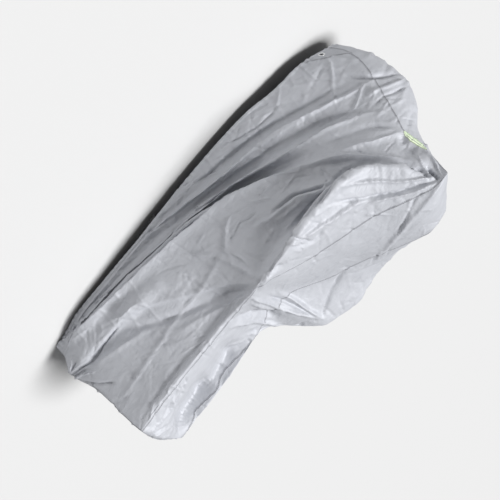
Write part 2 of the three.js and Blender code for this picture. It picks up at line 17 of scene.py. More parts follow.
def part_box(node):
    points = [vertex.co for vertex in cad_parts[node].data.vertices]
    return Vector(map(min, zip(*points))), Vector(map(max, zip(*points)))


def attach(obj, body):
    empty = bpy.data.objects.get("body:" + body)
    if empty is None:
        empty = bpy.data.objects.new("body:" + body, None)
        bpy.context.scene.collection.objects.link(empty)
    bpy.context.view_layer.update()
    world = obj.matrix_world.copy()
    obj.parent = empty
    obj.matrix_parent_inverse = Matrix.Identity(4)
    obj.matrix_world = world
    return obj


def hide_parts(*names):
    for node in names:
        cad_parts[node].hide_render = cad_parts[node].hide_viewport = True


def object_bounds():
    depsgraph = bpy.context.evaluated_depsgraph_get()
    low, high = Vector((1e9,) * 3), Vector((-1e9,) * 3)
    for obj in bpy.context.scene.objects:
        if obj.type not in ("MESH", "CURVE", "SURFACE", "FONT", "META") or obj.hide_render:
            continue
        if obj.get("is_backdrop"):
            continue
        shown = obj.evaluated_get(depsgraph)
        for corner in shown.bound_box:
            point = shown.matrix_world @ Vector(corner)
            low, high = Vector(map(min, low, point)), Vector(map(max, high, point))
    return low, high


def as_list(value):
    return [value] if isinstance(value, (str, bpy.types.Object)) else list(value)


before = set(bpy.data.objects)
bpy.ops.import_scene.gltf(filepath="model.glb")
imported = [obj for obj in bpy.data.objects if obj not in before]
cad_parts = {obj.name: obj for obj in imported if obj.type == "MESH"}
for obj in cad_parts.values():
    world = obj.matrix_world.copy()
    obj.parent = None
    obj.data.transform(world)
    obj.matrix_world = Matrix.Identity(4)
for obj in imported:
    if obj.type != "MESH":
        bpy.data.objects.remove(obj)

cad_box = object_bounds()
print("nodes:", sorted(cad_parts))

# %% [markdown]
# ## The camera
# The photograph looks at the left side from a little above, and was turned on its axis before it was
# printed. A long lens far away keeps the perspective gentle. The upright picture is used again later, to
# place creases, so its axes are kept: one unit of it is one pixel of the 500 x 500 frame at the middle of
# the cover.

# %% Camera
AIM = Vector((0.0525, 0.0, 0.4178))
DISTANCE = 7.0
PIXEL = 0.00515
SWING, DIP = math.radians(4), math.radians(24)
LEAN, TURN = math.radians(1), math.radians(131)
FRAME_PIXELS = 500
SENSOR = 36.0

look = Vector((math.sin(SWING) * math.cos(DIP), math.cos(SWING) * math.cos(DIP), -math.sin(DIP)))
camera_data = bpy.data.cameras.new("camera")
camera_data.sensor_width = SENSOR
camera_data.lens = SENSOR * DISTANCE / (FRAME_PIXELS * PIXEL)
camera = bpy.data.objects.new("camera", camera_data)
camera.location = AIM - look * DISTANCE
camera.rotation_mode = "QUATERNION"
camera.rotation_quaternion = look.to_track_quat("-Z", "Y") @ Quaternion((0, 0, 1), TURN)
bpy.context.scene.collection.objects.link(camera)
bpy.context.scene.camera = camera
print("lens", round(camera_data.lens, 1), "mm")

# %% [markdown]
# ## Floor and light
# A wide pale floor runs out of the picture on every side. The light is one soft sun, which stands a little
# to the nose and to the camera's side of overhead, and a weak even sky. Together they give the bright top,
# the grey flanks and the soft dark under each fold.


# %% Floor and light
def new_material(name):
    """A material with node tree ready, and its shader."""
    material = bpy.data.materials.new(name)
    material.use_nodes = True
    return material, material.node_tree, material.node_tree.nodes["Principled BSDF"]


def link_mesh(name, bm):
    """A bmesh made into an object of the scene, at the origin."""
    mesh = bpy.data.meshes.new(name)
    bm.to_mesh(mesh)
    bm.free()
    made = bpy.data.objects.new(name, mesh)
    bpy.context.scene.collection.objects.link(made)
    return made


FLOOR_REACH, FLOOR_LEVEL = 40.0, -0.002
bm = bmesh.new()
bmesh.ops.create_grid(bm, x_segments=4, y_segments=4, size=FLOOR_REACH)
bmesh.ops.translate(bm, vec=(0, 0, FLOOR_LEVEL), verts=bm.verts)
floor = link_mesh("floor", bm)
floor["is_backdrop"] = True
FLOOR_GREY, FLOOR_ROUGHNESS = (0.6, 0.6, 0.6, 1), 0.9
floor_paint, _, floor_shader = new_material("pale floor")
floor_shader.inputs["Base Color"].default_value = FLOOR_GREY
floor_shader.inputs["Roughness"].default_value = FLOOR_ROUGHNESS
floor.data.materials.append(floor_paint)

SKY_WHITE, SKY_STRENGTH = (1, 1, 1, 1), 0.24
world = bpy.data.worlds.new("studio")
world.use_nodes = True
sky = world.node_tree.nodes["Background"]
sky.inputs["Color"].default_value = SKY_WHITE
sky.inputs["Strength"].default_value = SKY_STRENGTH
bpy.context.scene.world = world
bpy.context.scene.view_settings.view_transform = "Standard"

SUN_STRENGTH, SUN_SIZE = 4.0, math.radians(26)
SUN_TURN = (math.radians(7), math.radians(-15), 0)
sun_data = bpy.data.lights.new("overhead", "SUN")
sun_data.energy = SUN_STRENGTH
sun_data.angle = SUN_SIZE
sun = bpy.data.objects.new("overhead", sun_data)
sun.rotation_euler = SUN_TURN
bpy.context.scene.collection.objects.link(sun)
print("lights set")

# %% [markdown]
# ## The outer skins
# Each packed panel is a closed sheet: an outer face, an inner face and a thin rim. Cloth is thinner than
# that, so only the outer face is kept. A copy of the panel has its loose triangles merged, and starting
# from its largest outward face the selection grows from face to face, but not over the square edge of the
# narrow rim. The rest is deleted. Pairs of triangles are joined into four-sided faces, which a subdivision
# surface smooths far better.

# %% Skins
RIM_WIDTH = 0.008
RIM_ANGLE = math.radians(50)
HEART = Vector((0, 0, 0.4))
MERGE, WELD = 0.00005, 0.0009
JOIN_BEND, JOIN_SKEW = math.radians(70), math.radians(80)
PANELS = ["centre_panel", "side_panel_left", "side_panel_right", "eyelet_patch_left", "eyelet_patch_right"]


def is_narrow(face):
    """True for a face as narrow as the rim of a sheet."""
    return 2 * face.calc_area() < RIM_WIDTH * max(edge.calc_length() for edge in face.edges)


def is_rim_edge(edge):
    """True for the edge where a sheet turns over into its rim."""
    return edge.calc_face_angle(0) > RIM_ANGLE and any(is_narrow(face) for face in edge.link_faces)


def grown_from(first):
    """The faces of a sheet that are reached from one of them without crossing its rim."""
    reached = {first}
    border = [first]
    while border:
        open_edges = [edge for edge in border.pop().edges if not is_rim_edge(edge)]
        new = {face for edge in open_edges for face in edge.link_faces} - reached
        reached |= new
        border.extend(new)
    return reached


def faces_away(face):
    """The area of a face, less the more it looks towards the middle of the cover."""
    return face.calc_area() * face.normal.dot((face.calc_center_median() - HEART).normalized())


def outer_skin(bm, name, mark):
    """Adds the outer face of one packed panel to a bmesh, with its number on its faces."""
    skin = bmesh.new()
    skin.from_mesh(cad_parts[name].data)
    bmesh.ops.remove_doubles(skin, verts=skin.verts, dist=MERGE)
    keep = grown_from(max(skin.faces, key=faces_away))
    inner = [face for face in skin.faces if face not in keep]
    bmesh.ops.delete(skin, geom=inner, context="FACES")
    bmesh.ops.join_triangles(
        skin, faces=skin.faces, angle_face_threshold=JOIN_BEND, angle_shape_threshold=JOIN_SKEW,
        topology_influence=1.0,
    )
    for face in skin.faces:
        face.material_index = mark
    loose = sum(len(face.verts) == 3 for face in skin.faces)
    area = sum(face.calc_area() for face in skin.faces)
    print(f"{name}: {len(skin.faces)} faces, {loose} of them triangles, {area:.3f} square metres")
    mesh = bpy.data.meshes.new(name + "_skin")
    skin.to_mesh(mesh)
    skin.free()
    bm.from_mesh(mesh)
    bpy.data.meshes.remove(mesh)


cloth = bmesh.new()
for mark, name in enumerate(PANELS):
    outer_skin(cloth, name, mark)
bmesh.ops.remove_doubles(cloth, verts=cloth.verts, dist=WELD)

# %% [markdown]
# ## Sewing the corners in
# The long seams meet point to point and are welded by now. The two doubled corners were cut off by a plane,
# so their points fall between those of their neighbours: the edge opposite each such point is split there,
# and the pair is welded.

# %% Corners
SEW_REACH = 0.009
AT_END = SEW_REACH / 3


def marks_of(thing):
    """The numbers of the panels that a point or an edge belongs to."""
    return {face.material_index for face in thing.link_faces}


def split_opposite(bm, vert):
    """Splits the open edge of another panel that a point lies on, and gives the point to weld it to."""
    for edge in bm.edges:
        if not edge.is_boundary or marks_of(edge) & marks_of(vert):
            continue
        start, end = edge.verts
        along = end.co - start.co
        share = (vert.co - start.co).dot(along) / along.length_squared
        if (start.co + along * min(max(share, 0), 1) - vert.co).length > SEW_REACH:
            continue
        if share * along.length < AT_END:
            return start
        if (1 - share) * along.length < AT_END:
            return end
        return bmesh.utils.edge_split(edge, start, share)[1]
    return None


for vert in [vert for vert in cloth.verts if vert.is_boundary]:
    if vert.is_valid and vert.is_boundary:
        other = split_opposite(cloth, vert)
        if other:
            bmesh.ops.pointmerge(cloth, verts=[vert, other], merge_co=vert.co)
print("sewn cloth:", len(cloth.faces), "faces,", sum(edge.is_boundary for edge in cloth.edges), "open edges")

# %% [markdown]
# ## From facets to cloth
# A subdivision surface rounds the facets off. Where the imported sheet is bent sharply, a crease weight holds
# the fold, so that it stays a fold and doesn't melt away. The sheet is also unwrapped while it is still
# coarse, with cuts along the seams: that is the pattern a cutter would lay on the flat cloth, and the weave
# follows it.

# %% Smooth cloth
SOFT_ANGLE, HARD_ANGLE = math.radians(25), math.radians(100)
MOST_CREASE = 0.55
SMOOTH_LEVELS = 3
PATTERN_GAP = 0.002

crease_layer = cloth.edges.layers.float.new("crease_edge")
for edge in cloth.edges:
    bend = (edge.calc_face_angle(0) - SOFT_ANGLE) / (HARD_ANGLE - SOFT_ANGLE)
    edge[crease_layer] = MOST_CREASE * min(max(bend, 0), 1)
    edge.seam = len(marks_of(edge)) == 2
for face in cloth.faces:
    face.smooth = True
coarse = link_mesh("coarse_cloth", cloth)
bpy.context.view_layer.objects.active = coarse
bpy.ops.object.mode_set(mode="EDIT")
bpy.ops.mesh.select_all(action="SELECT")
bpy.ops.uv.unwrap(method="ANGLE_BASED", margin=PATTERN_GAP)
bpy.ops.object.mode_set(mode="OBJECT")
smooth = coarse.modifiers.new("smooth", "SUBSURF")
smooth.levels = smooth.render_levels = SMOOTH_LEVELS
fine = bpy.data.meshes.new_from_object(coarse.evaluated_get(bpy.context.evaluated_depsgraph_get()))
bpy.data.objects.remove(coarse)

pattern = np.zeros(len(fine.loops) * 2)
fine.uv_layers.active.data.foreach_get("uv", pattern)
corners = pattern.reshape(-1, 4, 2)
one, other = corners[:, 2] - corners[:, 0], corners[:, 3] - corners[:, 1]
pattern_area = np.abs(one[:, 0] * other[:, 1] - one[:, 1] * other[:, 0]).sum() / 2
cloth_area = sum(face.area for face in fine.polygons)
pattern *= math.sqrt(cloth_area / pattern_area)
fine.uv_layers.active.data.foreach_set("uv", pattern)
print("smooth cloth:", len(fine.polygons), "faces,", round(cloth_area, 3), "square metres")

# %% [markdown]
# ## Where it is sewn
# The lines where two panels meet and the open edge of the hem are read off now, as rows of point numbers.
# The creases move the points later, but not their numbers, so the seams and the hem will lie on the
# finished cloth.


# %% Sewing lines
def rows_of(edges):
    """The numbers of the points along some edges, in rows from end to end, or once round."""
    near = {}
    for edge in edges:
        for vert, other in (edge.verts, reversed(edge.verts)):
            near.setdefault(vert.index, []).append(other.index)
    seen = set()
    for start in sorted(near, key=lambda number: len(near[number])):
        row = [start]
        while row[-1] not in seen:
            seen.add(row[-1])
            row.extend([number for number in near[row[-1]] if number not in seen][:1])
        if len(row) > 2:
            yield row + [start] if len(near[start]) == 2 else row


sewn = bmesh.new()
sewn.from_mesh(fine)
meeting = {}
for edge in sewn.edges:
    marks = marks_of(edge)
    meeting.setdefault(tuple(sorted(marks)) if len(marks) == 2 else edge.is_boundary, []).append(edge)
ROWS = {
    "left_seam": max(rows_of(meeting[0, 1] + meeting[0, 3]), key=len),
    "right_seam": max(rows_of(meeting[0, 2] + meeting[0, 4]), key=len),
    "left_corner_seam": max(rows_of(meeting[1, 3]), key=len),
    "right_corner_seam": max(rows_of(meeting[2, 4]), key=len),
    "hem": max(rows_of(meeting[True]), key=len),
}
sewn.free()
for name, row in ROWS.items():
    print(name, len(row), "points")

# %% [markdown]
# ## Creases
# The large folds are in the imported sheet already. The sharper ones are pressed in here, each along a line
# drawn on a view of the cover: its lift, the drop behind its edge where the cloth hangs over, how far its
# slope runs to the left and to the right of the line, all in millimetres, and how crisp its crest is. A
# negative lift is a trough. A line drawn on the upright photograph is in pixels of its frame, from the
# middle, with the second number upwards.


# %% Creases on the photographed side
def read_points(mesh):
    """The points of a mesh and their outward directions, as arrays."""
    points = np.zeros(len(mesh.vertices) * 3)
    mesh.vertices.foreach_get("co", points)
    out = np.zeros(len(mesh.vertices) * 3)
    mesh.vertex_normals.foreach_get("vector", out)
    return points.reshape(-1, 3), out.reshape(-1, 3)


LINE_STEP, SPAN_STEPS = 0.006, 12


def curve_through(corners):
    """Points at even steps on a smooth curve through some corners."""
    corners = np.asarray(corners, float)
    ends = [2 * corners[0] - corners[1], *corners, 2 * corners[-1] - corners[-2]]
    drawn = [corners[:1]]
    for p0, p1, p2, p3 in zip(ends, ends[1:], ends[2:], ends[3:]):
        t = np.linspace(0, 1, SPAN_STEPS + 1)[1:, None]
        square, cube = 2 * p0 - 5 * p1 + 4 * p2 - p3, 3 * p1 - p0 - 3 * p2 + p3
        drawn.append(0.5 * (2 * p1 + (p2 - p0) * t + square * t**2 + cube * t**3))
    drawn = np.concatenate(drawn)
    run = np.concatenate([[0], np.cumsum(np.linalg.norm(np.diff(drawn, axis=0), axis=1))])
    even = np.linspace(0, run[-1], max(int(run[-1] / LINE_STEP), 4))
    return np.stack([np.interp(even, run, drawn[:, axis]) for axis in range(drawn.shape[1])], 1)


WANDER_WAVES, WANDER_SHIFT, WANDER_PEAK = (1, 2, 3), 7.3, 1.6


def wander(along, seed, rate):
    """A slow uneven wave from -1 to 1, the same every time."""
    waves = (np.sin(along * rate * k + seed * WANDER_SHIFT * k + k) / k for k in WANDER_WAVES)
    return sum(waves) / WANDER_PEAK


def smooth_step(t):
    """0 to 1 with a soft start and a soft end."""
    t = np.clip(t, 0, 1)
    return t * t * (3 - 2 * t)


MM = 0.001
END_TAPER = 0.2
END_SHARE = 0.25
EDGE = 9.0
UNEVEN, UNEVEN_RATE = 1.5 * MM, 19
SWELL, SWELL_RATE = 0.25, 11


def crease_lift(places, crease, unit, seed):
    """The lift of one drawn crease at places on the view it is drawn on."""
    _, lift, drop, left, right, crisp, corners = crease
    line = curve_through(np.asarray(corners) * unit)
    reach = max(left, right) * MM
    lifts = np.zeros(len(places))
    near = np.flatnonzero(((places > line.min(0) - reach) & (places < line.max(0) + reach)).all(1))
    if len(near) == 0:
        return lifts
    along = np.gradient(line, axis=0)
    along /= np.linalg.norm(along, axis=1, keepdims=True)
    here = places[near]
    nearest = np.argmin(((here[:, None] - line[None]) ** 2).sum(2), axis=1)
    offset = here - line[nearest]
    tangent = along[nearest]
    aside = tangent[:, 0] * offset[:, 1] - tangent[:, 1] * offset[:, 0]
    past_end = np.abs((tangent * offset).sum(1))
    run = nearest / (len(line) - 1)
    aside = aside + UNEVEN * wander(run, seed, UNEVEN_RATE)
    share = np.clip(np.hypot(aside, past_end) / np.where(aside > 0, left * MM, right * MM), 0, 1)
    crest = np.where((aside < 0) & (drop > 0), np.clip(share * right / EDGE, 0, 1), share)
    profile = lift * ((1 - crisp) * (0.5 + 0.5 * np.cos(np.pi * crest)) + crisp * (1 - crest) ** 2)
    profile -= np.where(aside < 0, drop * smooth_step(share * right / EDGE) * (1 - smooth_step(share)), 0)
    ends = smooth_step(run / END_TAPER) * smooth_step((1 - run) / END_TAPER)
    swell = 1 + SWELL * wander(run, seed + 3, SWELL_RATE)
    lifts[near] = MM * profile * (END_SHARE + (1 - END_SHARE) * ends) * swell
    return lifts


# Each row: a name, the lift, the drop, the reach to the left and to the right, the crispness and the line.
NEAR_CREASES = [
    ("lip of the front lobe", 12, 26, 60, 60, 0.9,
     [(-172, 84), (-166, 67), (-152, 49), (-140, 37), (-125, 29)]),
    ("roll of the lip", 22, 26, 60, 46, 0.9,
     [(-146, 41), (-125, 28), (-105, 24.5), (-70, 23), (-50, 22.5), (-38, 23.5), (-20, 27)]),
    ("thin end of the lip", 8, 14, 20, 16, 0.9, [(-44, 23), (-30, 25), (-10, 28), (10, 31), (24, 32)]),
    ("tuck under the lobe", 14, 0, 50, 22, 0.5,
     [(-130, 36), (-120, 31), (-110, 27), (-100, 21), (-90, 15), (-80, 8.5), (-70, 2)]),
    ("tail of the tuck", 16, 0, 60, 16, 0.6,
     [(-88, 14), (-80, 8.5), (-70, 2), (-55, -1), (-38, -4.5), (-27, -9.5), (-18, -11.5), (-10, -12)]),
    ("line of the tuck", -42, 0, 14, 13, 0.8,
     [(-114, 26), (-107, 22), (-100, 17), (-90, 11), (-80, 4.5), (-70, -2), (-58, -4.5), (-46, -7)]),
    ("flap edge", 14, 36, 60, 56, 0.95,
     [(-116, -2), (-110, -6), (-95, -16), (-80, -25), (-63, -35), (-40, -45.5), (-20, -53), (-10, -56),
      (17, -61), (42, -66), (78, -70.5), (104, -73.5), (140, -78), (167, -81.5), (185, -84.5),
      (196, -87)]),
    ("first skirt ridge", 18, 8, 20, 42, 0.95,
     [(-192, 13), (-179, 0.5), (-165, -7), (-140, -20), (-100, -34), (-60, -49), (-20, -60), (50, -71)]),
    ("trough under the first ridge", -18, 0, 36, 26, 0.5,
     [(-186, -4), (-160, -18), (-130, -32), (-95, -45), (-50, -58), (0, -69)]),
    ("second skirt ridge", 17, 8, 20, 42, 0.95,
     [(-209, -16), (-188, -23), (-162, -34), (-137, -44), (-107, -56), (-60, -66), (0, -78), (50, -88)]),
    ("trough under the second ridge", -17, 0, 36, 26, 0.5,
     [(-190, -34), (-160, -45), (-130, -56), (-95, -68), (-50, -77), (-5, -85)]),
    ("trough at the nose", -22, 0, 18, 24, 0.8,
     [(-233, 2), (-220, -9), (-210, -19), (-201, -29), (-196, -38)]),
    ("crease over the nose", -11, 0, 14, 18, 0.7, [(-231, 17), (-215, 10), (-204, 4), (-190, 2)]),
    ("second crease over the nose", 13, 0, 18, 12, 0.8, [(-233, 9), (-217, 2), (-206, -5), (-190, -10)]),
    ("small crease by the nose", 10, 0, 10, 14, 0.9, [(-203, -20), (-190, -16), (-180, -12), (-170, -12)]),
    ("pull to the eyelet", 11, 0, 18, 14, 0.9, [(-168, -30), (-177, -40), (-193, -56), (-197, -66)]),
    ("second pull to the eyelet", -8, 0, 12, 14, 0.7, [(-158, -57), (-176, -60), (-192, -63)]),
    ("third pull to the eyelet", 8, 0, 12, 14, 0.8, [(-214, -40), (-206, -52), (-199, -64)]),
    ("crease from the tape", 11, 0, 34, 20, 0.8, [(-190, 41), (-165, 26), (-152, 16), (-136, 7)]),
    ("second crease from the tape", -11, 0, 26, 26, 0.4, [(-190, 34), (-172, 14), (-150, 0), (-128, -12)]),
    ("fold below the front corner", 17, 0, 36, 24, 0.8,
     [(-178, 74), (-165, 54), (-146, 27), (-132, 10), (-110, -8)]),
    ("shade beside that fold", -7, 0, 30, 20, 0.4, [(-160, 56), (-140, 28), (-118, 6), (-96, -10)]),
    ("pocket at the front corner", -38, 0, 16, 14, 0.6, [(-176, 99), (-176, 91), (-177, 84)]),
    ("second pocket", -32, 0, 18, 14, 0.6, [(-170, 91), (-172, 82), (-168, 72), (-166, 66)]),
    ("pleat at the corner", 17, 0, 12, 12, 0.9, [(-180, 99), (-186, 84), (-188, 70)]),
    ("second pleat at the corner", 13, 0, 10, 12, 0.9, [(-174, 92), (-175, 80), (-180, 68)]),
    ("cheek fold", -16, 0, 40, 40, 0.3, [(-184, 66), (-180, 52), (-188, 42)]),
    ("radial fold one", 20, 0, 14, 14, 0.95, [(-178, 98), (-150, 72), (-128, 46), (-106, 28)]),
    ("radial fold two", -20, 0, 16, 14, 0.95, [(-174, 98), (-140, 76), (-110, 52), (-90, 34)]),
    ("radial fold three", 17, 0, 12, 14, 0.95, [(-170, 99), (-146, 86), (-120, 66), (-98, 56)]),
    ("lobe crease", 22, 0, 40, 10, 0.9, [(-118, 58), (-104, 50), (-70, 40), (-42, 32)]),
    ("lobe hook", -11, 0, 14, 16, 0.7, [(-67, 41), (-54, 44), (-43, 41), (-29, 31)]),
    ("crumple on the lip", -17, 0, 14, 14, 0.7, [(-46, 42), (-40, 32), (-38, 23)]),
    ("second crumple on the lip", 10, 0, 10, 10, 0.9, [(-36, 40), (-34, 32), (-28, 24)]),
    ("lip of the near wing tip", -20, 0, 18, 30, 0.5, [(-12, 36), (4, 32), (14, 29), (26, 29)]),
    ("trough from the wing tip", -16, 0, 30, 40, 0.6,
     [(26, 30), (49, 12), (71, 0), (92, -10), (118, -26), (146, -49)]),
    ("ridge over that trough", 11, 0, 50, 26, 0.7, [(32, 30), (58, 17), (80, 8), (106, -2)]),
    ("ridge under that trough", 15, 0, 24, 60, 0.8, [(22, 27), (40, 4), (66, -14), (98, -36), (126, -56)]),
    ("fold down from the wing tip", 13, 0, 34, 26, 0.7, [(16, 26), (20, 2), (28, -24), (44, -46)]),
    ("shadow under the seat edge", -9, 0, 8, 40, 0.4,
     [(40, 23), (70, 23), (100, 22), (130, 22), (165, 23), (198, 26)]),
    ("standing crinkle", 11, 0, 10, 16, 0.9,
     [(13, 9), (12, 0), (15, -12), (17, -19), (5, -28), (-8, -36), (-18, -36)]),
    ("curved crinkle", -11, 0, 12, 12, 0.8, [(-34, -19), (-23, -21), (-15, -25), (-3, -23), (12, -21)]),
    ("short crinkle", 7, 0, 10, 12, 0.9, [(-67, -26.5), (-56, -27), (-45, -26)]),
    ("packing crease", 11, 0, 15, 12, 0.95,
     [(5, -23), (17, -19), (39, -16), (67, -12.5), (112, -12), (124, -9.5), (149, -7), (200, -3)]),
    ("upright packing crease", 8, 0, 12, 12, 0.95, [(-109, 22), (-108, 10), (-108, -2)]),
    ("second upright packing crease", 4, 0, 12, 12, 0.95, [(-134, -32), (-133.5, -40), (-133.5, -48)]),
    ("third upright packing crease", 8, 0, 12, 12, 0.95, [(-173.5, -57), (-173, -68), (-173.5, -79)]),
    ("fourth upright packing crease", -8, 0, 12, 12, 0.9, [(-147, 27), (-146, 21), (-145, 15)]),
    ("gather at the tail", -28, 0, 10, 11, 0.9,
     [(138, -51), (160, -51), (185, -49), (199, -53), (213, -56)]),
    ("slack under the gather", 36, 0, 66, 80, 0.1,
     [(90, -48), (120, -54), (150, -57), (180, -58), (205, -58)]),
    ("ridge under the gather", 7, 0, 9, 30, 0.8, [(146, -54), (185, -52), (199, -56), (212, -58)]),
    ("slack at the tail", -17, 0, 12, 16, 0.9, [(188, -18), (196, -26), (204, -35), (210, -44)]),
    ("tail pucker", 18, 0, 9, 9, 0.9, [(194, -41), (203, -48), (213, -52)]),
    ("low tail pucker", 17, 0, 9, 9, 0.9, [(197, -67), (204, -61), (213, -57)]),
    ("crease before the tail", 10, 0, 16, 10, 0.9, [(108, -41), (111, -52), (127, -56), (145, -65)]),
    ("slack over the gather", 10, 0, 30, 20, 0.7, [(128, -28), (160, -38), (190, -46)]),
    ("second lip of the flap", 13, 0, 10, 8, 0.95, [(122, -82), (146, -83), (166, -85), (182, -88)]),
    ("hem fold one", -11, 0, 12, 16, 0.7, [(-130, -71), (-110, -72), (-95, -75), (-80, -80), (-63, -89)]),
    ("hem fold two", -10, 0, 12, 14, 0.7, [(-42, -78), (-26, -82), (-10, -88)]),
    ("hem fold three", -10, 0, 12, 14, 0.7, [(26, -81), (40, -85), (54, -90)]),
    ("ridge to the far wing tip", 20, 0, 20, 24, 0.9, [(6, 99), (9, 84), (10, 66), (14, 50)]),
    ("second ridge to the far wing tip", 20, 0, 18, 16, 0.95, [(9, 96), (18, 76), (24, 62), (36, 32)]),
    ("trough between those ridges", -17, 0, 16, 18, 0.4, [(9, 92), (13, 76), (17, 60), (24, 44)]),
    ("fold along the far wing", -13, 0, 16, 18, 0.6, [(8, 99), (-9, 92), (-26, 87), (-48, 85)]),
    ("dark line behind the far wing tip", -13, 0, 10, 14, 0.8, [(9, 98), (20, 90), (33, 82)]),
    ("crumple before the seat", -22, 0, 24, 24, 0.4, [(32, 62), (42, 48), (52, 40), (64, 33)]),
    ("crest before the seat", 15, 0, 20, 20, 0.8, [(38, 74), (46, 58), (56, 47), (72, 35)]),
    ("second crest before the seat", 11, 0, 16, 18, 0.8, [(30, 56), (36, 46), (40, 36)]),
    ("seat pucker one", 8, 0, 12, 10, 0.8, [(57, 61), (64, 57), (75, 58), (88, 53)]),
    ("seat crease one", -10, 0, 12, 14, 0.9, [(136, 32), (146, 37), (155, 41), (172, 44)]),
    ("seat crease two", -10, 0, 12, 14, 0.9, [(147, 32), (163, 37), (183, 42)]),
    ("foot of the far seat edge", -80, 0, 14, 150, 0.3,
     [(70, 59), (90, 61.5), (110, 63.5), (130, 64), (150, 65), (170, 65.5), (190, 65)]),
    ("seat far pucker one", -6, 0, 10, 10, 0.7, [(106, 68), (108, 61), (109, 58)]),
    ("seat far pucker two", -6, 0, 10, 10, 0.7, [(128, 68), (128, 60), (126, 57)]),
    ("seat far pucker three", -6, 0, 10, 10, 0.7, [(150, 70), (148, 62), (147, 59)]),
    ("seat far pucker four", -6, 0, 10, 10, 0.7, [(168, 71), (168, 63), (167, 60)]),
    ("front top ridge", 13, 0, 26, 20, 0.8,
     [(-186, 101), (-160, 104), (-130, 104), (-100, 103), (-80, 104)]),
    ("front top crease", -10, 0, 12, 16, 0.8, [(-162, 100), (-146, 94), (-126, 99), (-104, 103)]),
    ("fan at the tail corner", 10, 0, 8, 8, 0.9, [(180, 57), (196, 51), (209, 45)]),
    ("second fan at the tail corner", -10, 0, 8, 8, 0.9, [(186, 51), (198, 47), (209, 43.5)]),
    ("third fan at the tail corner", 10, 0, 8, 8, 0.9, [(193, 61), (203, 53), (210, 46)]),
    ("fourth fan at the tail corner", 9, 0, 8, 7, 0.9, [(170, 44), (190, 43), (208, 40.5)]),
    ("line under the lip", -34, 0, 11, 13, 0.8,
     [(-106, 21.5), (-94, 19.5), (-78, 18.2), (-62, 18), (-46, 19), (-32, 21.5)]),
    ("knot of the gather", -18, 0, 8, 8, 0.9, [(196, -47.5), (205, -51), (213, -54.5)]),
    ("low knot of the gather", -18, 0, 8, 8, 0.9, [(196, -60), (204, -59), (212, -58.5)]),
]

points, out = read_points(fine)
right_axis = Vector((math.cos(SWING), -math.sin(SWING), 0))
up_axis = right_axis.cross(look)


def on_photograph(points):
    """Points as they fall on the upright photograph, in metres at the middle of the cover."""
    from_eye = points - np.array(camera.location)
    scale = DISTANCE / (from_eye @ np.array(look))
    across = from_eye @ np.array(right_axis) * scale
    up = from_eye @ np.array(up_axis) * scale
    level = across * math.cos(LEAN) + up * math.sin(LEAN)
    return np.stack([level, up * math.cos(LEAN) - across * math.sin(LEAN)], 1)


FACING_FADE = 0.3


def press(places, facing, creases, unit):
    """The lift of a table of creases at places on their view, as far as the cloth faces that view."""
    lifts = sum(crease_lift(places, crease, unit, seed) for seed, crease in enumerate(creases))
    return lifts * smooth_step(facing / FACING_FADE)


lift = press(on_photograph(points), out @ -np.array(look), NEAR_CREASES, PIXEL)
print("near creases:", len(NEAR_CREASES), "lift from", round(lift.min(), 4), "to", round(lift.max(), 4))

# %% [markdown]
# ## Creases on the other sides
# The photograph doesn't show the right side, the front and the tail, so their creases are the same kinds of
# fold at other places: the right side's flap and skirt ridges follow its packed form, and the narrow front
# and tail sag between their seams. These lines are in metres on a straight view from that side.

